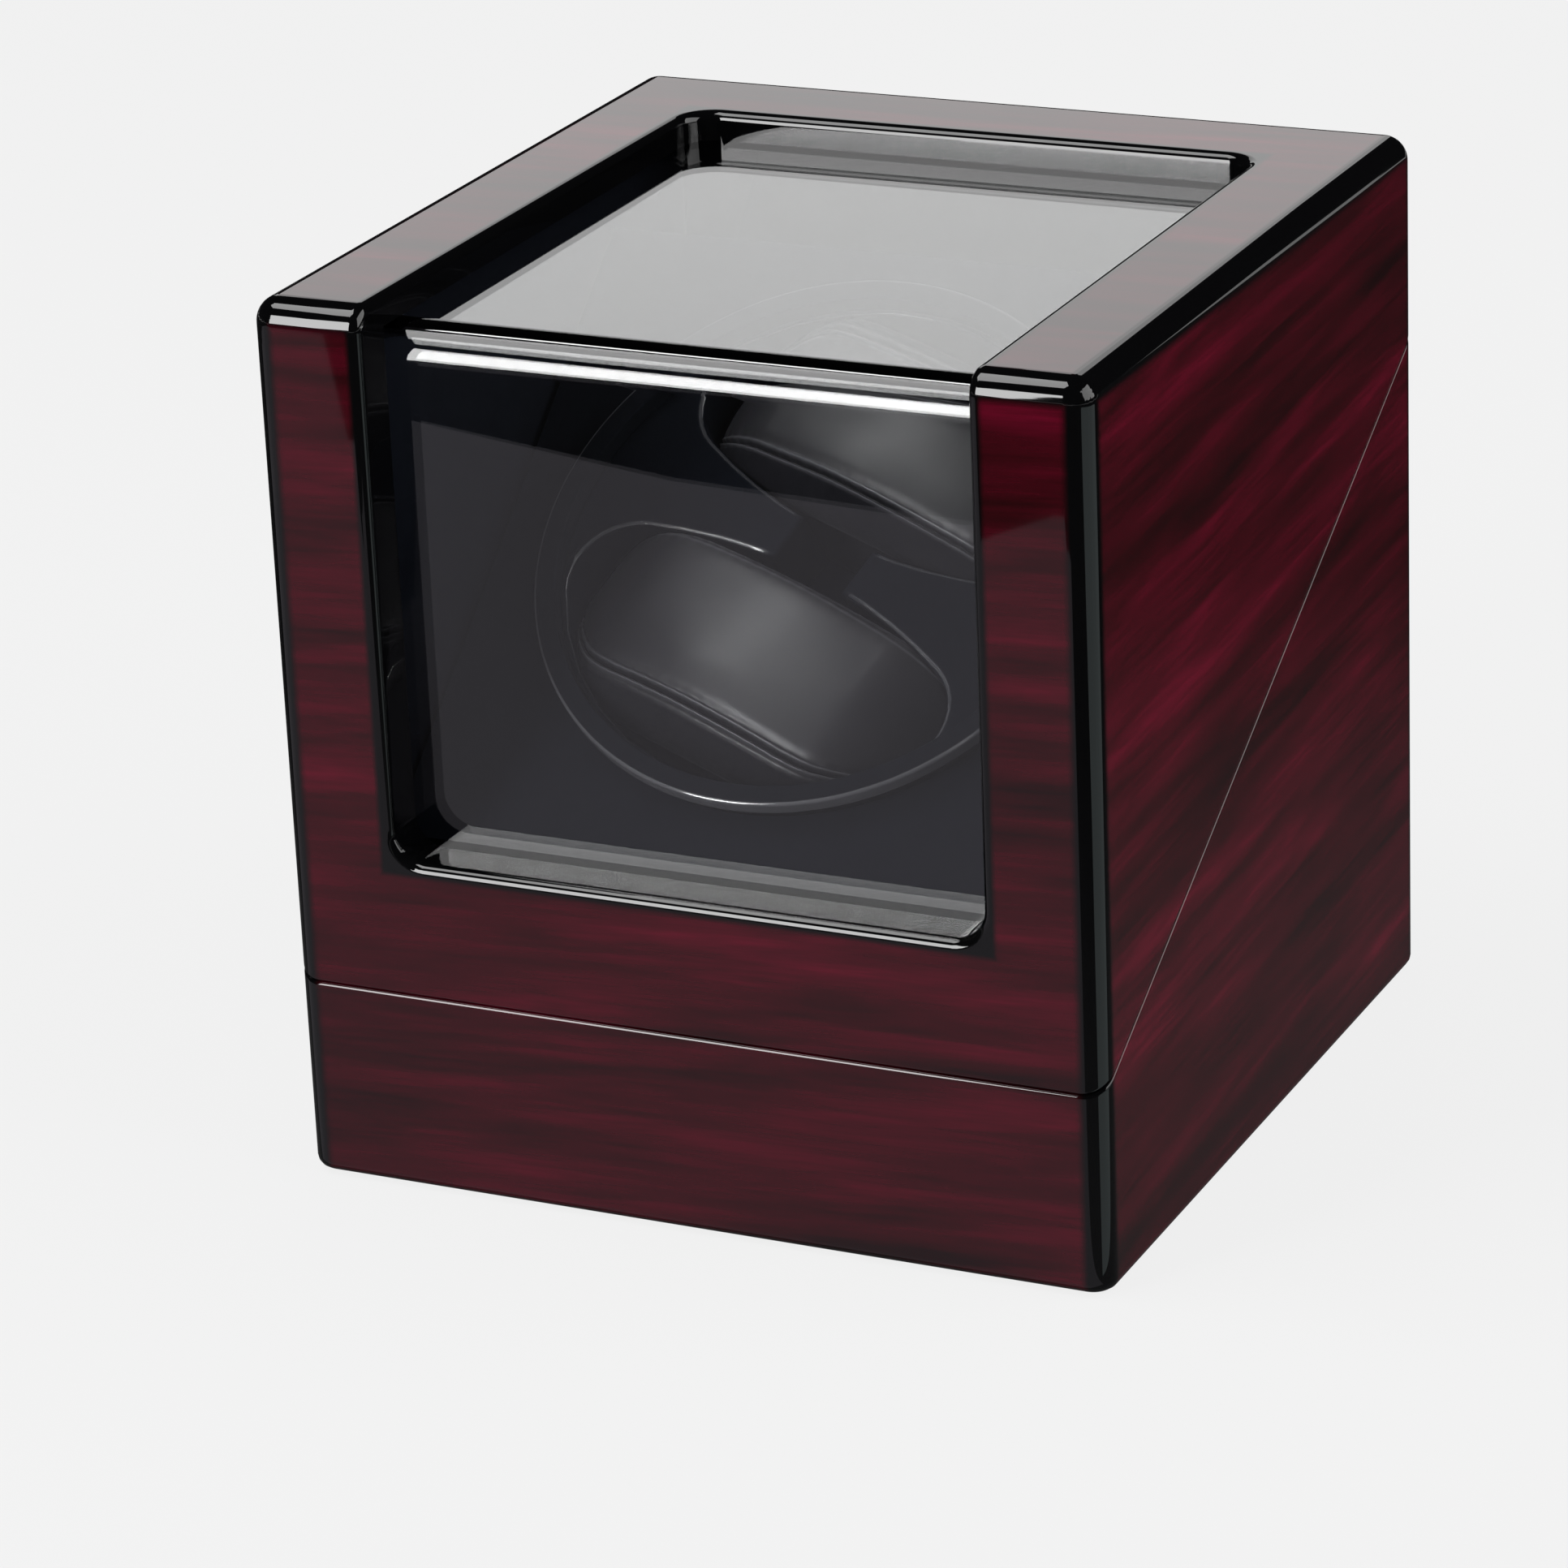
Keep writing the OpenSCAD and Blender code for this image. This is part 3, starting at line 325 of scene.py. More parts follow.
# %% Group: uneven gloss
gloss_group, source, sink = group(
    "uneven_gloss",
    [("Vector", "NodeSocketVector", None), ("Scale", "NodeSocketFloat", 80.0),
     ("Low", "NodeSocketFloat", 0.1), ("High", "NodeSocketFloat", 0.2)],
    [("Roughness", "NodeSocketFloat"), ("Height", "NodeSocketFloat"), ("Shade", "NodeSocketFloat")])
fine = noise(gloss_group, source.outputs["Vector"], source.outputs["Scale"], 4.0, 0.6)
broad = noise(gloss_group, source.outputs["Vector"],
              sum_of(gloss_group, "MULTIPLY", source.outputs["Scale"], 0.13), 2.0)
blend = sum_of(gloss_group, "MULTIPLY_ADD", fine, 0.5, sum_of(gloss_group, "MULTIPLY", broad, 0.5))
span = node(gloss_group, "ShaderNodeMapRange", {
    "Value": blend, "From Min": 0.3, "From Max": 0.7, "To Min": source.outputs["Low"],
    "To Max": source.outputs["High"]})
gloss_group.links.new(span.outputs[0], sink.inputs["Roughness"])
gloss_group.links.new(fine, sink.inputs["Height"])
gloss_group.links.new(blend, sink.inputs["Shade"])
print(gloss_group.name, "has", len(gloss_group.nodes), "nodes")

# %% Group: nap of cloth
nap_group, source, sink = group(
    "cloth_nap",
    [("Vector", "NodeSocketVector", None), ("Fibre Scale", "NodeSocketFloat", 2500.0),
     ("Dark", "NodeSocketColor", (0.01, 0.01, 0.01, 1)),
     ("Light", "NodeSocketColor", (0.04, 0.04, 0.04, 1))],
    [("Color", "NodeSocketColor"), ("Height", "NodeSocketFloat")])
fibres = noise(nap_group, source.outputs["Vector"], source.outputs["Fibre Scale"], 2.0, 0.7)
drifts = noise(nap_group, source.outputs["Vector"],
               sum_of(nap_group, "MULTIPLY", source.outputs["Fibre Scale"], 0.018), 3.0, 0.55, 0.4)
share = sum_of(nap_group, "MULTIPLY_ADD", fibres, 0.5,
               sum_of(nap_group, "MULTIPLY", drifts, 0.5))
nap_group.links.new(
    mix_colour(nap_group, rise(nap_group, share, 0.36, 0.64), source.outputs["Dark"],
               source.outputs["Light"]), sink.inputs["Color"])
nap_group.links.new(fibres, sink.inputs["Height"])
print(nap_group.name, "has", len(nap_group.nodes), "nodes")


# %% Materials from the groups
def object_vector(tree):
    """The shaded point in metres, fixed to the piece."""
    return node(tree, "ShaderNodeTexCoord").outputs["Object"]


def start_material(name):
    """A material with one shader that is still plain; returns it, its tree and its shader."""
    made = bpy.data.materials.new(name)
    made.use_nodes = True
    tree = made.node_tree
    tree.nodes.clear()
    shader = node(tree, "ShaderNodeBsdfPrincipled")
    out = node(tree, "ShaderNodeOutputMaterial")
    tree.links.new(shader.outputs[0], out.inputs["Surface"])
    return made, tree, shader


def add_relief(tree, shader, height, depth):
    """Tilt the surface as a height of 0 to 1 would over so many metres of depth."""
    bump = node(tree, "ShaderNodeBump", {"Height": height, "Distance": depth, "Strength": 1.0})
    tree.links.new(bump.outputs[0], shader.inputs["Normal"])


def hard_finish(name, dark, light, roughness, scale, relief=0.00002, metallic=0.0,
                grain=(1, 1, 1)):
    """Plastic, paint or metal: two near colours, a range of roughness and a fine relief."""
    made, tree, shader = start_material(name)
    vector = stretched(tree, object_vector(tree), grain)
    surface = use(tree, gloss_group, {"Vector": vector, "Scale": scale, "Low": roughness[0],
                                      "High": roughness[1]})
    colour = mix_colour(tree, surface.outputs["Shade"], (*dark, 1), (*light, 1))
    fill(tree, shader, {"Base Color": colour, "Roughness": surface.outputs["Roughness"],
                        "Metallic": metallic, "Specular IOR Level": 0.5})
    add_relief(tree, shader, surface.outputs["Height"], relief)
    return made


def cloth_finish(name, dark, light, fibre_scale, relief, sheen,
                 sheen_colour=(0.5, 0.5, 0.55), roughness=(0.86, 1.0), specular=0.1):
    """Cloth with a nap: two near colours in drifts, a broad shine and a little sheen."""
    made, tree, shader = start_material(name)
    nap = use(tree, nap_group, {"Vector": object_vector(tree), "Fibre Scale": fibre_scale,
                                "Dark": (*dark, 1), "Light": (*light, 1)})
    surface = use(tree, gloss_group, {"Vector": object_vector(tree), "Scale": 400.0,
                                      "Low": roughness[0], "High": roughness[1]})
    fill(tree, shader, {"Base Color": nap.outputs["Color"],
                        "Roughness": surface.outputs["Roughness"], "Sheen Weight": sheen,
                        "Sheen Roughness": 0.45, "Sheen Tint": (*sheen_colour, 1),
                        "Specular IOR Level": specular})
    add_relief(tree, shader, nap.outputs["Height"], relief)
    return made


finishes = {
    "black_board": hard_finish("black_board", (0.012, 0.012, 0.013), (0.022, 0.022, 0.023),
                               (0.55, 0.7), scale=500, relief=0.00004),
    "felt": cloth_finish("felt", (0.006, 0.006, 0.007), (0.02, 0.02, 0.021), fibre_scale=1200,
                         relief=0.0003, sheen=0.2),
    "suede": cloth_finish("suede", (0.0046, 0.0056, 0.0088), (0.0060, 0.0072, 0.0108),
                          fibre_scale=5200, relief=0.000002, sheen=0.02,
                          sheen_colour=(0.4, 0.45, 0.6), roughness=(0.9, 1.0), specular=0.04),
    "pillow_velvet": cloth_finish("pillow_velvet", (0.0055, 0.0055, 0.0072),
                                  (0.0090, 0.0088, 0.0110), fibre_scale=5200, relief=0.000008,
                                  sheen=0.05, roughness=(0.9, 1.0), specular=0.08),
    "gloss_black_plastic": hard_finish("gloss_black_plastic", (0.010, 0.010, 0.011),
                                       (0.016, 0.016, 0.017), (0.05, 0.12), scale=60),
    "black_plastic": hard_finish("black_plastic", (0.016, 0.016, 0.017), (0.028, 0.028, 0.030),
                                 (0.38, 0.52), scale=1400, relief=0.00003),
    "black_rubber": hard_finish("black_rubber", (0.014, 0.014, 0.014), (0.024, 0.024, 0.024),
                                (0.6, 0.8), scale=900, relief=0.00003),
    "white_acetal": hard_finish("white_acetal", (0.66, 0.65, 0.60), (0.76, 0.75, 0.71),
                                (0.3, 0.42), scale=300),
    "steel": hard_finish("steel", (0.46, 0.46, 0.48), (0.60, 0.60, 0.62), (0.25, 0.42),
                         scale=260, relief=0.00001, metallic=1.0, grain=(1, 1, 6)),
    "nickel": hard_finish("nickel", (0.62, 0.61, 0.58), (0.74, 0.73, 0.70), (0.12, 0.24),
                          scale=200, relief=0.000005, metallic=1.0),
    "brass": hard_finish("brass", (0.62, 0.42, 0.16), (0.78, 0.57, 0.26), (0.16, 0.34),
                         scale=240, relief=0.000008, metallic=1.0),
    "circuit_board": hard_finish("circuit_board", (0.012, 0.085, 0.035), (0.02, 0.13, 0.055),
                                 (0.28, 0.4), scale=700),
    "red_insulation": hard_finish("red_insulation", (0.40, 0.02, 0.015), (0.55, 0.04, 0.03),
                                  (0.35, 0.5), scale=500),
}
print(len(finishes), "plain finishes")

# %% [markdown]
# ## Satin over the pillows
# The pile of the velvet is pressed flat over each pillow's crown and gets a satin shine there,
# while the side panels stay matt. The cords of the seams are painted paler, a painted highlight
# for the thin bright lines that they catch. Both masks follow the cover and not the room, so the
# pillow's mesh carries them as two values at each of its points, named crown and cord. The satin
# is a coat, and the painted highlight of the cords is mixed into the colour.

# %% Satin over the pillows
# The paler colour mixed onto the cords is a painted highlight.
painted_cord_highlight = (0.060, 0.060, 0.066, 1)
tree = finishes["pillow_velvet"].node_tree
shader = first_node(tree, "BSDF_PRINCIPLED")
crown = node(tree, "ShaderNodeAttribute", attribute_name="crown").outputs["Fac"]
cord = node(tree, "ShaderNodeAttribute", attribute_name="cord").outputs["Fac"]
velvet = shader.inputs["Base Color"].links[0].from_socket
fill(tree, shader, {"Coat Weight": crown, "Coat Roughness": 0.42,
                    "Base Color": mix_colour(tree, cord, velvet, painted_cord_highlight)})
print("velvet reads the attributes crown and cord")

# %% [markdown]
# ## Lacquered veneer
# The case is veneered in a dark red rosewood whose streaks run level round the box, then
# sprayed black along every edge and in the window recess, and polished under clear lacquer.
# The black follows distances: how far a point is from the outer faces, from the box's edges and
# from the window. The streaks are noise stretched along the grain, which runs along X on the
# front and back and along Y on the sides. All of it reads Object coordinates, so it stays put.

# %% Lacquered veneer
case_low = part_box("base_shell")[0]
case_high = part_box("lid_shell")[1]
half_width, half_depth, case_top = case_high.x, case_high.y, case_high.z
window_half, window_sill, window_back = 57.8 * MM, 65.0 * MM, 56.0 * MM
edge_black, edge_wood = 3.7 * MM, 5.7 * MM  # black ends and wood is full so far from an edge
window_black, window_wood = 1.8 * MM, 3.2 * MM  # and so far from the window
bottom_trim = 3.0 * MM  # the band along the bottom is narrower by this
skin, inside = 0.5 * MM, 1.1 * MM  # veneer lies no deeper than the skin of the outer faces
lacquer_black = (0.0016, 0.0016, 0.0018, 1)
print("case", [round(v / MM, 1) for v in (2 * half_width, 2 * half_depth, case_top)], "mm")

figure_group, source, sink = group(
    "rosewood_figure", [("Vector", "NodeSocketVector", None), ("Side", "NodeSocketFloat", 0.0)],
    [("Color", "NodeSocketColor"), ("Height", "NodeSocketFloat")])
tree = figure_group
axes = node(tree, "ShaderNodeSeparateXYZ", {0: source.outputs["Vector"]})
side = source.outputs["Side"]
other = sum_of(tree, "SUBTRACT", 1.0, side)
along = sum_of(tree, "MULTIPLY_ADD", axes.outputs["Y"], side,
               sum_of(tree, "MULTIPLY", axes.outputs["X"], other))
cross = sum_of(tree, "MULTIPLY_ADD", axes.outputs["X"], side,
               sum_of(tree, "MULTIPLY", axes.outputs["Y"], other))
cross = sum_of(tree, "ADD", cross, axes.outputs["Z"])
cross = sum_of(tree, "MULTIPLY_ADD", along, -0.05, cross)
sheet = node(tree, "ShaderNodeCombineXYZ", {"X": along, "Y": cross, "Z": side}).outputs[0]
streaks = noise(tree, stretched(tree, sheet, (13, 150, 4)), 1.0, 4.0, 0.55, 0.35)
bands = noise(tree, stretched(tree, sheet, (6, 34, 4)), 1.0, 3.0, 0.5, 0.2)
threads = noise(tree, stretched(tree, sheet, (60, 1100, 4)), 1.0, 2.0, 0.6)
value = sum_of(tree, "MULTIPLY_ADD", streaks, 0.55, sum_of(tree, "MULTIPLY", bands, 0.33))
value = sum_of(tree, "MULTIPLY_ADD", threads, 0.12, value)
wood = colour_ramp(tree, value, (0.36, (0.010, 0.0016, 0.0020)), (0.44, (0.024, 0.0017, 0.0032)),
                   (0.51, (0.040, 0.0018, 0.0050)), (0.58, (0.064, 0.0020, 0.0080)),
                   (0.68, (0.125, 0.0030, 0.0160)))
tree.links.new(wood, sink.inputs["Color"])
tree.links.new(threads, sink.inputs["Height"])

lacquer, tree, shader = start_material("lacquered_veneer")
place = object_vector(tree)
axes = node(tree, "ShaderNodeSeparateXYZ", {0: place})
normal = node(tree, "ShaderNodeNewGeometry").outputs["Normal"]
facing = node(tree, "ShaderNodeSeparateXYZ", {0: normal})
side = sum_of(tree, "GREATER_THAN", sum_of(tree, "ABSOLUTE", facing.outputs["X"]), 0.6)
from_x = sum_of(tree, "SUBTRACT", half_width, sum_of(tree, "ABSOLUTE", axes.outputs["X"]))
from_y = sum_of(tree, "SUBTRACT", half_depth, sum_of(tree, "ABSOLUTE", axes.outputs["Y"]))
from_z = sum_of(tree, "MINIMUM", sum_of(tree, "ADD", axes.outputs["Z"], bottom_trim),
                sum_of(tree, "SUBTRACT", case_top, axes.outputs["Z"]))
low_xy = sum_of(tree, "MINIMUM", from_x, from_y)
depth_in = sum_of(tree, "MINIMUM", low_xy, sum_of(tree, "ABSOLUTE", from_z))
from_edge = sum_of(tree, "MAXIMUM", low_xy,
                   sum_of(tree, "MINIMUM", sum_of(tree, "MAXIMUM", from_x, from_y), from_z))
from_window = sum_of(
    tree, "MAXIMUM", sum_of(tree, "SUBTRACT", sum_of(tree, "ABSOLUTE", axes.outputs["X"]),
                            window_half),
    sum_of(tree, "MAXIMUM", sum_of(tree, "SUBTRACT", window_sill, axes.outputs["Z"]),
           sum_of(tree, "SUBTRACT", axes.outputs["Y"], window_back)))
show = sum_of(tree, "MULTIPLY", rise(tree, from_edge, edge_black, edge_wood),
              rise(tree, from_window, window_black, window_wood))
show = sum_of(tree, "MULTIPLY", show, rise(tree, depth_in, skin, inside, 1.0, 0.0))
figure = use(tree, figure_group, {"Vector": place, "Side": side})
colour = mix_colour(tree, show, lacquer_black, figure.outputs["Color"])
polish = use(tree, gloss_group, {"Vector": place, "Scale": 55.0, "Low": 0.02, "High": 0.035})
fill(tree, shader, {"Base Color": colour, "Roughness": polish.outputs["Roughness"], "IOR": 1.5})
add_relief(tree, shader, polish.outputs["Height"], 0.0000004)
finishes["lacquered_veneer"] = lacquer

# %% [markdown]
# ## Clear acrylic
# The window is a polished acrylic sheet. It mirrors the panels and lets the cabinet behind it
# show. A path tracer can hardly find lamps through glass, so for shadow rays and for light that
# bounces inside the box the sheet counts as plain transparent, and the inside stays lit.

# %% Acrylic and pine
acrylic, tree, shader = start_material("clear_acrylic")
haze = use(tree, gloss_group, {"Vector": object_vector(tree), "Scale": 30.0, "Low": 0.0,
                               "High": 0.006})
tint = mix_colour(tree, haze.outputs["Shade"], (0.965, 0.975, 0.98, 1), (0.985, 0.99, 0.99, 1))
fill(tree, shader, {"Base Color": tint, "Roughness": haze.outputs["Roughness"], "IOR": 1.52,
                    "Transmission Weight": 1.0})
clear = node(tree, "ShaderNodeBsdfTransparent", {"Color": (0.93, 0.93, 0.94, 1)})
path = node(tree, "ShaderNodeLightPath")
passing = sum_of(tree, "MAXIMUM", path.outputs["Is Shadow Ray"], path.outputs["Is Diffuse Ray"])
both = node(tree, "ShaderNodeMixShader", {0: passing})
tree.links.new(shader.outputs[0], both.inputs[1])
tree.links.new(clear.outputs[0], both.inputs[2])
tree.links.new(both.outputs[0], first_node(tree, "OUTPUT_MATERIAL").inputs["Surface"])
finishes["clear_acrylic"] = acrylic

pine, tree, shader = start_material("pine")
rings = noise(tree, stretched(tree, object_vector(tree), (420, 12, 420)), 1.0, 3.0, 0.6, 0.8)
fill(tree, shader, {"Base Color": colour_ramp(tree, rings, (0.35, (0.58, 0.42, 0.22)),
                                              (0.6, (0.44, 0.28, 0.12))), "Roughness": 0.62})
add_relief(tree, shader, rings, 0.00008)
finishes["pine"] = pine
print(len(finishes), "finishes in all")

# %% [markdown]
# ## Dress the exact parts
# Most pieces already have their true shape from the CAD model: boards, screws, gears, hinges and
# controls. They keep their meshes and only take a finish. The record names a finish for each.

# %% Finishes of the CAD pieces
slot_of = {}
for part in frame["record"]["subparts"]:
    slot_of[part["node"]] = part.get("material_slot") or part.get("material")
for name, piece in nodes.items():
    material = finishes[slot_of[name]]
    if piece.material_slots:
        for place in piece.material_slots:
            place.material = material
    else:
        piece.data.materials.append(material)
print({s: sum(v == s for v in slot_of.values()) for s in sorted(set(slot_of.values()))})

# %% [markdown]
# ## Mesh helpers
# New pieces are grids of points. A grid with rows and columns becomes a surface of quads in one
# go: corner numbers come from one array, so no loop runs over the points. Where the grid closes
# on itself the doubled points are merged. Curved paths pass smoothly through a few set points.

# %% Grids and paths
def link_mesh(name, points, faces):
    """A piece from an array of points and one of the corner numbers of its faces."""
    mesh = bpy.data.meshes.new(name)
    mesh.from_pydata(np.asarray(points, float).reshape(-1, 3).tolist(), [], faces.tolist())
    made = bpy.data.objects.new(name, mesh)
    bpy.context.scene.collection.objects.link(made)
    return made


def grid_faces(rows, columns, wrap_rows=False, wrap_columns=False):
    """Corner numbers of the quads of a rows x columns grid, closed round where asked."""
    r = np.arange(rows if wrap_rows else rows - 1)
    c = np.arange(columns if wrap_columns else columns - 1)
    r, c = np.meshgrid(r, c, indexing="ij")
    r2, c2 = (r + 1) % rows, (c + 1) % columns
    quads = np.stack([r * columns + c, r2 * columns + c, r2 * columns + c2, r * columns + c2], -1)
    return quads.reshape(-1, 4)


def close_up(piece, gap=1e-6):
    """Merge doubled points, drop collapsed faces and turn every face outwards."""
    bm = bmesh.new()
    bm.from_mesh(piece.data)
    bmesh.ops.remove_doubles(bm, verts=bm.verts, dist=gap)
    bmesh.ops.dissolve_degenerate(bm, edges=bm.edges, dist=gap)
    bmesh.ops.recalc_face_normals(bm, faces=bm.faces)
    open_edges = sum(len(e.link_faces) != 2 for e in bm.edges)
    bm.to_mesh(piece.data)
    bm.free()
    piece.data.polygons.foreach_set("use_smooth", np.ones(len(piece.data.polygons), bool))
    print(piece.name, len(piece.data.polygons), "faces,", open_edges, "open edges")
    return piece


def through(points, count):
    """Catmull-Rom curve: each stretch leans on the points before and after it."""
    p = np.asarray(points, float)
    p = np.vstack([2 * p[0] - p[1], p, 2 * p[-1] - p[-2]])
    t = np.linspace(0, len(points) - 1 - 1e-9, count)
    i, f = t.astype(int), (t % 1)[:, None]
    a, b, c, d = p[i], p[i + 1], p[i + 2], p[i + 3]
    return 0.5 * (2 * b + (c - a) * f + (2 * a - 5 * b + 4 * c - d) * f**2
                  + (3 * b - a - 3 * c + d) * f**3)


def filleted(corners, radii, steps=8):
    """Closed outline whose corners are arcs: from each tangent point, turn round the corner."""
    p = np.asarray(corners, float)
    before, after = np.roll(p, 1, 0) - p, np.roll(p, -1, 0) - p
    u = before / np.linalg.norm(before, axis=1)[:, None]
    v = after / np.linalg.norm(after, axis=1)[:, None]
    half_turn = np.arccos(np.clip((u * v).sum(1), -1, 1)) / 2
    reach = np.asarray(radii, float) / np.tan(half_turn)
    start, end = p + u * reach[:, None], p + v * reach[:, None]
    t = np.linspace(0, 1, steps)[None, :, None]
    bend = (1 - t) ** 2 * start[:, None] + 2 * t * (1 - t) * p[:, None] + t**2 * end[:, None]
    return bend.reshape(-1, 2)


def finish_piece(piece, body, slot, *replaced):
    """Give a piece its finish and its body, and hide the CAD nodes that it stands for."""
    piece.data.materials.clear()
    piece.data.materials.append(finishes[slot])
    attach(piece, body)
    if replaced:
        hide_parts(*replaced)
    return piece


# %% [markdown]
# ## Rounded shells
# Base and lid are sprayed boxes, so no edge on them is sharp: the window's rim has a radius of
# two millimetres, the edges along the seam half a millimetre, and the bottom edge two and a bit.
# A copy of each exact shell is merged and its flat faces joined. Then each sharp edge gets a
# weight from where it lies, and one Bevel rounds them all. Weighted normals keep the flats flat.

# %% Rounded copies of exact parts
seam_front, seam_back = 39.0 * MM, 131.0 * MM
seam_slope = (seam_back - seam_front) / (2 * half_depth)
rim_radius, seam_radius, bottom_radius = 2.0 * MM, 0.5 * MM, 2.4 * MM
rim_from, rim_to = -2.2 * MM, 0.3 * MM  # the rim's edges lie so far beyond the opening
skin_depth, seam_reach, bottom_reach = 1.6 * MM, 0.35 * MM, 0.1 * MM
ball_radius, shortest_cut = 4.8 * MM, 0.4 * MM
sharp_angle, flat_angle = math.radians(35), math.radians(0.4)


def from_seam(p):
    """Distance above the seam, square to its slope."""
    return (p.z - (seam_front + (p.y + half_depth) * seam_slope)) / math.hypot(1, seam_slope)


def depth_inside(p):
    """Least distance from the outer faces of the case."""
    return min(half_width - abs(p.x), half_depth - abs(p.y), case_top - p.z, p.z - case_low.z)


def shell_radius(p):
    """Radius for a sharp edge of the case, from the place of its middle, in metres."""
    opening = max(abs(p.x) - window_half, window_sill - p.z, p.y - window_back)
    on_window = rim_from < opening < rim_to
    outside = depth_inside(p) < skin_depth
    if on_window and outside:
        return rim_radius
    if outside and abs(from_seam(p)) < seam_reach:
        return seam_radius
    if outside and p.z < case_low.z + bottom_reach:
        return bottom_radius
    return 0.0


def ball_corners(bm):
    """Turn the four upper corners into balls: cut along their planes, divide, push onto balls."""
    inner = Vector((half_width - ball_radius, half_depth - ball_radius, case_top - ball_radius))
    planes = [((s * inner.x, 0, 0), (1, 0, 0)) for s in (-1, 1)]
    planes += [((0, s * inner.y, 0), (0, 1, 0)) for s in (-1, 1)] + [((0, 0, inner.z), (0, 0, 1))]
    for point, normal in planes:
        bmesh.ops.bisect_plane(bm, geom=bm.verts[:] + bm.edges[:] + bm.faces[:], dist=1e-6,
                               plane_co=point, plane_no=normal)

    def in_corner(p):
        """True beyond all three planes that cut off a corner."""
        return (abs(p.x) > inner.x - 1e-6 and abs(p.y) > inner.y - 1e-6
                and p.z > inner.z - 1e-6)

    bmesh.ops.triangulate(bm, faces=[f for f in bm.faces if all(in_corner(v.co) for v in f.verts)])
    for _ in range(2):
        edges = [e for e in bm.edges if all(in_corner(v.co) for v in e.verts)
                 and e.calc_length() > shortest_cut]
        bmesh.ops.subdivide_edges(bm, edges=edges, cuts=1, use_grid_fill=True)
    moved = 0
    for vert in bm.verts:
        if in_corner(vert.co):
            middle = Vector((math.copysign(inner.x, vert.co.x),
                             math.copysign(inner.y, vert.co.y), inner.z))
            arm = vert.co - middle
            if arm.length > ball_radius:
                vert.co = middle + arm * (ball_radius / arm.length)
                moved += 1
    print("ball corners:", moved, "points moved")


def rounded_copy(name, source, radius_at, widest, reshape=None, join_flats=True):
    """Copy of a CAD node: doubles merged, flats joined where asked, sharp edges rounded by place.

    Bevel's width is the widest radius, and each edge's weight is its share of that.
    """
    mesh = nodes[source].data.copy()
    mesh.name = name
    made = bpy.data.objects.new(name, mesh)
    bpy.context.scene.collection.objects.link(made)
    bm = bmesh.new()
    bm.from_mesh(mesh)
    bmesh.ops.remove_doubles(bm, verts=bm.verts, dist=2e-6)
    if join_flats:
        bmesh.ops.dissolve_limit(bm, angle_limit=flat_angle, verts=bm.verts, edges=bm.edges)
    if reshape:
        reshape(bm)
    weight = bm.edges.layers.float.new("bevel_weight_edge")
    rounded = 0
    for edge in bm.edges:
        edge.smooth = True
        if len(edge.link_faces) == 2 and edge.calc_face_angle(0) > sharp_angle:
            middle = (edge.verts[0].co + edge.verts[1].co) / 2
            edge[weight] = radius_at(middle) / widest
            edge.smooth = edge[weight] > 0
            rounded += edge[weight] > 0
    bm.to_mesh(mesh)
    bm.free()
    mesh.polygons.foreach_set("use_smooth", np.ones(len(mesh.polygons), bool))
    bevel = made.modifiers.new("round_edges", "BEVEL")
    bevel.limit_method = "WEIGHT"
    bevel.width = widest
    bevel.segments = 4
    bevel.use_clamp_overlap = False
    bevel.miter_outer = "MITER_ARC"
    shade = made.modifiers.new("flat_faces", "WEIGHTED_NORMAL")
    shade.keep_sharp = True
    print(name, len(mesh.polygons), "faces,", rounded, "rounded edges")
    return made


finish_piece(rounded_copy("lid_case", "lid_shell", shell_radius, rim_radius, ball_corners),
             "lid", "lacquered_veneer", "lid_shell")
finish_piece(rounded_copy("base_case", "base_shell", shell_radius, bottom_radius), "base",
             "lacquered_veneer", "base_shell")

# %% [markdown]
# ## The bent window
# One sheet of acrylic, three millimetres thick, is bent over a round former, so that it closes
# the front and the top in one piece. Its section is a line, a quarter circle and a line, with a
# second copy set in by the thickness; the section is carried straight across the box.

# %% Bent window
pane_low, pane_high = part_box("window_pane")
pane_thick, pane_bend, bend_steps = 3.0 * MM, 7.0 * MM, 33


def bent_line(inset):
    """Front line, quarter circle round the bend's centre, top line: (y, z) points."""
    turn = np.linspace(math.pi, math.pi / 2, bend_steps)
    centre = (pane_low.y + pane_bend, pane_high.z - pane_bend)
    arc = np.stack([centre[0] + (pane_bend - inset) * np.cos(turn),
                    centre[1] + (pane_bend - inset) * np.sin(turn)], 1)
    return np.vstack([[(pane_low.y + inset, pane_low.z)], arc,
                      [(pane_high.y, pane_high.z - inset)]])


outer, inner = bent_line(0.0), bent_line(pane_thick)
loop = np.vstack([outer, inner[::-1]])
columns = len(loop)
across = np.array([pane_low.x, pane_high.x])
points = np.stack([np.repeat(across, columns), np.tile(loop[:, 0], 2), np.tile(loop[:, 1], 2)], 1)
walls = grid_faces(2, columns, wrap_columns=True)
k = np.arange(len(outer) - 1)
cap = np.stack([k, k + 1, columns - 2 - k, columns - 1 - k], 1)
faces = np.vstack([walls, cap, cap[:, ::-1] + columns])
window = close_up(link_mesh("bent_window", points, faces))
polish_edge = window.modifiers.new("polished_edge", "BEVEL")
polish_edge.limit_method = "ANGLE"
polish_edge.angle_limit = math.radians(60)
polish_edge.width = 0.35 * MM
polish_edge.segments = 2
window.modifiers.new("flat_faces", "WEIGHTED_NORMAL")
finish_piece(window, "lid", "clear_acrylic", "window_pane")
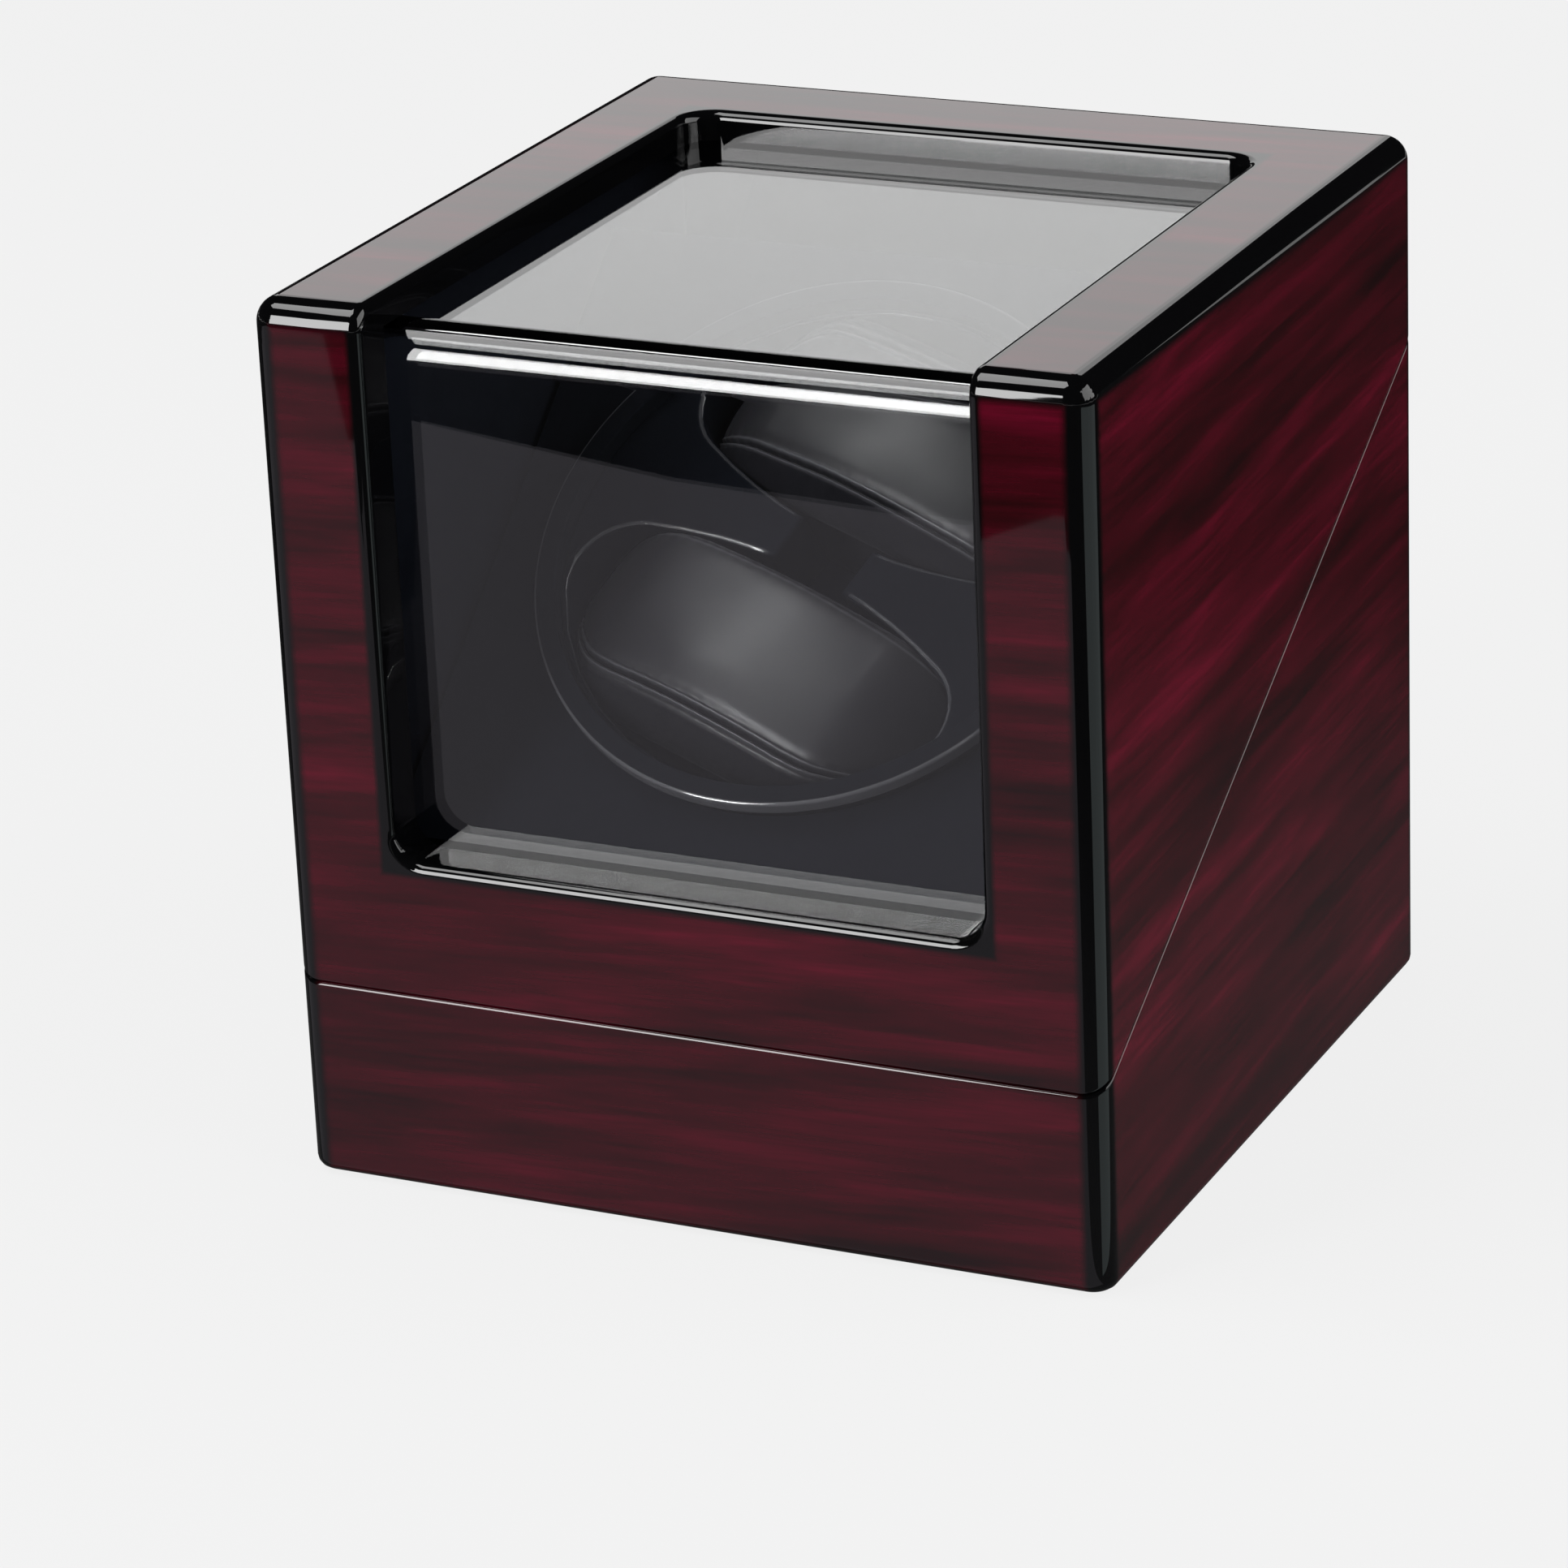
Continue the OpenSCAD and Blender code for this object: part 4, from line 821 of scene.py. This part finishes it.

# %% [markdown]
# ## The turntable
# The turntable is a deep moulded cup of matt plastic, and it leans back by forty degrees. In its
# own frame, a and b lie in its face and n points out of it; the CAD joint gives its centre. The
# cup is turned: one closed profile with small fillets goes round n. The lip of its rim is
# polished, so a mask of the distance from the axis lays a clear coat on the lip alone; the same
# mask paints the lip a paler grey, a painted highlight for the thin bright line along the rim.

# %% Frame of the turntable
spin = next(j for j in frame["joints"] if j["name"] == "turntable_spin")
centre = np.array(spin["pos_m"], float)
tilt, park = math.radians(40.0), math.radians(-19.5)
along_x = np.array([1.0, 0.0, 0.0])
up_slope = np.array([0.0, math.cos(tilt), math.sin(tilt)])
out_of_face = np.array([0.0, -math.sin(tilt), math.cos(tilt)])
axis_a = math.cos(park) * along_x + math.sin(park) * up_slope
axis_b = math.cos(park) * up_slope - math.sin(park) * along_x


def on_turntable(a, b, n):
    """Point of the box from turntable coordinates in millimetres."""
    a, b, n = (np.asarray(v, float)[..., None] * MM for v in (a, b, n))
    return centre + a * axis_a + b * axis_b + n * out_of_face


def turned_shape(name, outline, steps=192):
    """Closed outline of (radius, n) carried round the n axis."""
    turn = np.linspace(0, 2 * math.pi, steps, endpoint=False)[:, None]
    r, n = outline[None, :, 0], outline[None, :, 1]
    points = on_turntable(r * np.cos(turn), r * np.sin(turn), n + 0 * turn)
    return close_up(link_mesh(name, points, grid_faces(steps, len(outline), True, True)))


def arm_of(tree):
    """Vector from the centre of the turntable to the shaded point."""
    return node(tree, "ShaderNodeVectorMath", {0: object_vector(tree), 1: tuple(centre)},
                operation="SUBTRACT").outputs[0]


print("turntable centre", centre, "and out of its face", out_of_face.round(4))

# %% Plastic of the cup
lip_start, lip_full = 54.05 * MM, 54.25 * MM
cup_plastic, tree, shader = start_material("cup_plastic")
across_axis = node(tree, "ShaderNodeVectorMath", {0: arm_of(tree), 1: tuple(out_of_face)},
                   operation="CROSS_PRODUCT").outputs[0]
from_axis = node(tree, "ShaderNodeVectorMath", {0: across_axis}, operation="LENGTH")
lip_coat_and_highlight = rise(tree, from_axis.outputs["Value"], lip_start, lip_full)
surface = use(tree, gloss_group, {"Vector": object_vector(tree), "Scale": 900.0, "Low": 0.72,
                                  "High": 0.9})
colour = mix_colour(tree, surface.outputs["Shade"], (0.003, 0.0038, 0.006, 1),
                    (0.005, 0.0060, 0.009, 1))
# The paler grey on the lip is a painted highlight.
colour = mix_colour(tree, lip_coat_and_highlight, colour, (0.085, 0.086, 0.092, 1))
fill(tree, shader, {"Base Color": colour, "Roughness": surface.outputs["Roughness"],
                    "Specular IOR Level": 0.04, "Coat Weight": lip_coat_and_highlight, "Coat Roughness": 0.08,
                    "Coat IOR": 2.2})
add_relief(tree, shader, surface.outputs["Height"], 0.000008)

# %% Cup
rim, rim_low, cup, cup_inside, cup_low, cup_floor = 54.7, -3.0, 52.5, 50.5, -36.5, -34.5
under_rim, bore, boss, boss_low = -4.2, 3.05, 9.0, -40.5
corners = np.array([  # distance from the axis, height n and fillet, in millimetres
    (bore, cup_floor, 0.1), (cup_inside, cup_floor, 1.5), (cup_inside, 0, 0.4), (rim, 0, 0.7),
    (rim, rim_low, 0.7), (cup, under_rim, 0.5), (cup, cup_low, 1.2), (boss, cup_low, 1.0),
    (boss, boss_low, 0.5), (bore, boss_low, 0.1)])
cup_piece = turned_shape("turntable_bowl", filleted(corners[:, :2], corners[:, 2]))
cup_piece.modifiers.new("flat_faces", "WEIGHTED_NORMAL")
finish_piece(cup_piece, "turntable", "gloss_black_plastic", "turntable_cup")
cup_piece.data.materials[0] = cup_plastic

# %% [markdown]
# ## The pocket insert
# A velour-covered block fills the cup. It has two bowed pockets and a finger notch between
# them. Its cover turns over each upper edge in a soft radius, so the exact block is copied and
# its upper edges are rounded, each by its distance from the axis. The walls by the cup are thin,
# so their radius is small, and the flats stay unjoined, because large joined faces would
# overlap there. The pile is pressed smooth along the pockets' upper edges, so a mask of the
# height gives them a coat; the same mask paints them a paler colour, a painted highlight for
# the light that these edges catch.

# %% Pocket insert
insert_face, wall_start = -3.5, 49.0
soft_radius, wall_radius = 1.2 * MM, 0.35 * MM


def insert_radius(p):
    """Radius of an upper edge: soft at pockets and notch, small on the thin walls by the cup."""
    offset = np.array(p) - centre
    n = offset @ out_of_face / MM
    r = math.hypot(offset @ axis_a, offset @ axis_b) / MM
    if abs(n - insert_face) > 0.1:
        return 0.0
    return wall_radius if r > wall_start else soft_radius


insert = rounded_copy("velour_insert", "pocket_insert", insert_radius, soft_radius,
                      join_flats=False)
insert.modifiers["round_edges"].miter_outer = "MITER_SHARP"
finish_piece(insert, "turntable", "suede", "pocket_insert")

# %% Velour with pressed edges and a painted edge highlight
# These limits bound the coat and the painted edge highlight alike.
edge_low, edge_from = -3.99 * MM, -3.86 * MM  # the coat rises between these heights n
edge_to, edge_high = -3.60 * MM, -3.53 * MM  # and ends between these, just under the face
notch_side, notch_clear = 9.0 * MM, 11.0 * MM  # the notch between the pockets has no coat
velour, tree, shader = start_material("velour_with_painted_edge_highlight")
arm = arm_of(tree)
height = node(tree, "ShaderNodeVectorMath", {0: arm, 1: tuple(out_of_face)},
              operation="DOT_PRODUCT").outputs["Value"]
along_a = node(tree, "ShaderNodeVectorMath", {0: arm, 1: tuple(axis_a)},
               operation="DOT_PRODUCT").outputs["Value"]
on_edge = sum_of(tree, "MULTIPLY", rise(tree, height, edge_low, edge_from),
                 rise(tree, height, edge_to, edge_high, 1.0, 0.0))
on_edge = sum_of(tree, "MULTIPLY", on_edge,
                 rise(tree, sum_of(tree, "ABSOLUTE", along_a), notch_side, notch_clear))
nap = use(tree, nap_group, {"Vector": object_vector(tree), "Fibre Scale": 2600.0,
                            "Dark": (0.0036, 0.0044, 0.0070, 1),
                            "Light": (0.0048, 0.0058, 0.0088, 1)})
surface = use(tree, gloss_group, {"Vector": object_vector(tree), "Scale": 400.0, "Low": 0.9,
                                  "High": 1.0})
# The paler colour on the edges is a painted highlight for the light that they catch.
painted_edge_highlight = sum_of(tree, "MULTIPLY", on_edge, 0.9)
colour = mix_colour(tree, painted_edge_highlight, nap.outputs["Color"], (0.040, 0.041, 0.046, 1))
fill(tree, shader, {"Base Color": colour, "Roughness": surface.outputs["Roughness"],
                    "Specular IOR Level": 0.04, "Coat Weight": on_edge, "Coat Roughness": 0.22,
                    "Coat IOR": 2.0})
add_relief(tree, shader, nap.outputs["Height"], 0.000002)
insert.data.materials[0] = velour

# %% [markdown]
# ## The watch pillows
# Each pillow is a roll of foam in velvet. A watch strap goes round it lengthways. The cover is
# one long band over the crown and round both ends, joined to two side panels by a corded seam.
# The surface is a band section carried round a stadium: the section says how far each point
# lies in from the stadium, so the crown bulges, both seams draw in, and the side panels puff
# out towards the pocket. Near the ends the section is squeezed between the pocket's walls.

# %% Watch pillows
# In millimetres: the pillow, the walls of its pocket, and then its folds and seams.
pillow_half, pillow_radius, pillow_middle = 24.0, 17.0, -14.2
pillow_rounds, section_points = 300, 156
bow_radius, bow_start, bow_end = 110.0, 4.7, 34.35
corner_radius, corner_a, corner_b, corner_end = 12.0, 30.6, 21.6, 40.4
block_radius, wall_gap = 49.45, 0.5
seam_spread, gather_depth, drift_depth, deepest_fold = 2.2, 0.10, 0.22, 12
arch_drop, arch_reach, squeeze = 0.55, 41.0, 2.5
crown_coat, cord_offset, cord_width = 0.85, 0.9, 0.3


def pillow_section(inner, outer, low_seam):
    """Band section as (b, inset): side panel, corded seam, crown, corded seam, side panel.

    Each seam is two cords with a groove between them. A low seam sits round the shoulder,
    where it can't be seen from above, and a high one lies on the crown.
    """
    if low_seam:
        start = [(inner + 1.2, 17.0), (inner + 0.2, 14.0), (inner - 1.2, 10.0),
                 (inner - 1.5, 7.4), (inner - 1.2, 6.2), (inner - 0.8, 5.6), (inner - 1.2, 5.0),
                 (inner - 0.6, 3.6), (inner, 2.2), (inner + 0.7, 1.3), (inner + 1.8, 0.75),
                 (inner + 4.0, 0.4)]
    else:
        start = [(inner - 2.0, 17.0), (inner - 3.8, 14.5), (inner - 5.4, 11.0),
                 (inner - 5.8, 7.5), (inner - 4.8, 5.0), (inner - 2.8, 3.0), (inner - 1.4, 2.2),
                 (inner - 0.9, 1.6), (inner - 0.4, 2.2), (inner, 3.0), (inner + 0.4, 2.1),
                 (inner + 0.9, 1.4), (inner + 1.5, 1.5), (inner + 3.4, 0.8)]
    crown = [(inner + share * (outer - inner), sag) for share, sag in
             ((0.30, 0.12), (0.52, 0.0), (0.72, 0.1))]
    end = [(outer - 3.4, 0.85), (outer - 1.6, 1.75), (outer - 0.9, 1.1), (outer - 0.35, 1.9),
           (outer, 3.0), (outer + 0.35, 2.1), (outer + 0.9, 1.3), (outer + 1.5, 2.5),
           (outer + 2.8, 3.1), (outer + 4.6, 5.4), (outer + 5.8, 8.5), (outer + 6.0, 12.0),
           (outer + 5.4, 15.0), (outer + 4.6, 17.0)]
    return through(start + crown + end, section_points)


def pocket_walls(a):
    """Inner and outer wall of a pocket at each a: bow, corner circle and cup circle."""
    a = np.abs(a)
    bow = bow_start + bow_radius - np.sqrt(bow_radius**2 - a**2)
    corner = np.sqrt(np.clip(corner_radius**2 - np.clip(a - corner_a, 0, None) ** 2, 0, None))
    rim = np.sqrt(np.clip(block_radius**2 - a**2, 0, None))
    inner = np.where(a < bow_end, bow, corner_b - corner)
    outer = np.where(a < corner_end, rim, corner_b + corner)
    return inner + wall_gap, outer - wall_gap


def soft_min(x, y, blend=1.5):
    """Smaller value, eased where the two meet.

    Half of: their sum, less the root of their difference squared plus the blend squared.
    """
    return 0.5 * (x + y - np.sqrt((x - y) ** 2 + blend**2))


def soft_max(x, y, blend=1.5):
    """Larger value, eased in the same way."""
    return -soft_min(-x, -y, blend)


def pillow_points(section, inner, outer):
    """Stadium whose radius is less by the section's inset, arched along a.

    The stadium is walked once round: along the top, round one end, back along the bottom and
    round the other end. Gathers ripple across the seams, and slow drifts keep the rest uneven.
    """
    b, inset = section[None, :, 0], section[None, :, 1]
    length = 4 * pillow_half + 2 * math.pi * pillow_radius
    s = np.linspace(0, length, pillow_rounds, endpoint=False)[:, None]
    flat, cap = 2 * pillow_half, math.pi * pillow_radius
    back, last_cap = flat + cap, 2 * flat + cap
    turn = np.piecewise(s, [s < flat, (s >= flat) & (s < back), (s >= back) & (s < last_cap)],
                        [math.pi / 2, lambda v: math.pi / 2 - (v - flat) / pillow_radius,
                         -math.pi / 2, lambda v: -math.pi / 2 - (v - last_cap) / pillow_radius])
    core = np.where(s < flat, s - pillow_half,
                    np.where(s < back, pillow_half,
                             np.where(s < last_cap, pillow_half - (s - back), -pillow_half)))
    near_seam = sum(np.exp(-((b - seam) / seam_spread) ** 2) for seam in (inner, outer))
    gather = gather_depth * np.sin(s * 1.9 + 0.8 * np.sin(s * 0.31)) * near_seam
    drift = drift_depth * np.sin(s * 0.17 + b * 0.11) * np.sin(b * 0.19 - s * 0.045)
    folds = (gather + drift) * (inset < deepest_fold)
    radius = np.clip(pillow_radius - inset - folds, 0, None)
    a = core + radius * np.cos(turn)
    n = radius * np.sin(turn)
    n = np.where(n > 0, n * (1 - arch_drop * (a / arch_reach) ** 2), n) + pillow_middle
    wall_in, wall_out = pocket_walls(a)
    first, last = section[:, 0].min(), section[:, 0].max()
    low_side, high_side = np.maximum(first, wall_in), np.minimum(last, wall_out)
    share = (b - first) / (last - first)
    squeezed = low_side + share * (high_side - low_side)
    return a, soft_max(soft_min(b + 0 * a, squeezed + squeeze), squeezed - squeeze), n


def add_attribute(piece, name, along_section):
    """Give each point of a pillow its value from its place in the section."""
    values = np.tile(along_section, pillow_rounds).astype(np.float32)
    piece.data.attributes.new(name, "FLOAT", "POINT").data.foreach_set("value", values)


def watch_pillow(name, side, body, replaced, inner, outer, low_seam):
    """Closed roll from the pillow's points, with the two values that its velvet reads.

    The crown is 0.85 from just outside the inner seam to just outside the outer one, and the
    cord is a narrow peak on each of the two cords of both seams.
    """
    section = pillow_section(inner, outer, low_seam)
    a, b, n = pillow_points(section, inner, outer)
    points = on_turntable(side * a, side * b, n)
    made = link_mesh(name, points, grid_faces(*a.shape, wrap_rows=True))
    place = section[:, 0]
    on_crown = np.clip(np.minimum(place - inner + 1.2, outer + 2.4 - place), 0, 1)
    add_attribute(made, "crown", crown_coat * on_crown)
    cords = [seam + offset for seam in (inner, outer) for offset in (-cord_offset, cord_offset)]
    on_cord = sum(np.exp(-((place - cord) / cord_width) ** 2) for cord in cords)
    add_attribute(made, "cord", on_cord)
    close_up(made, 2e-5)
    finish_piece(made, body, "pillow_velvet", replaced)
    return made


watch_pillow("upper_watch_pillow", 1, "upper_pillow", "pillow_upper", 12.6, 38.4, False)
watch_pillow("lower_watch_pillow", -1, "lower_pillow", "pillow_lower", 8.6, 38.8, True)
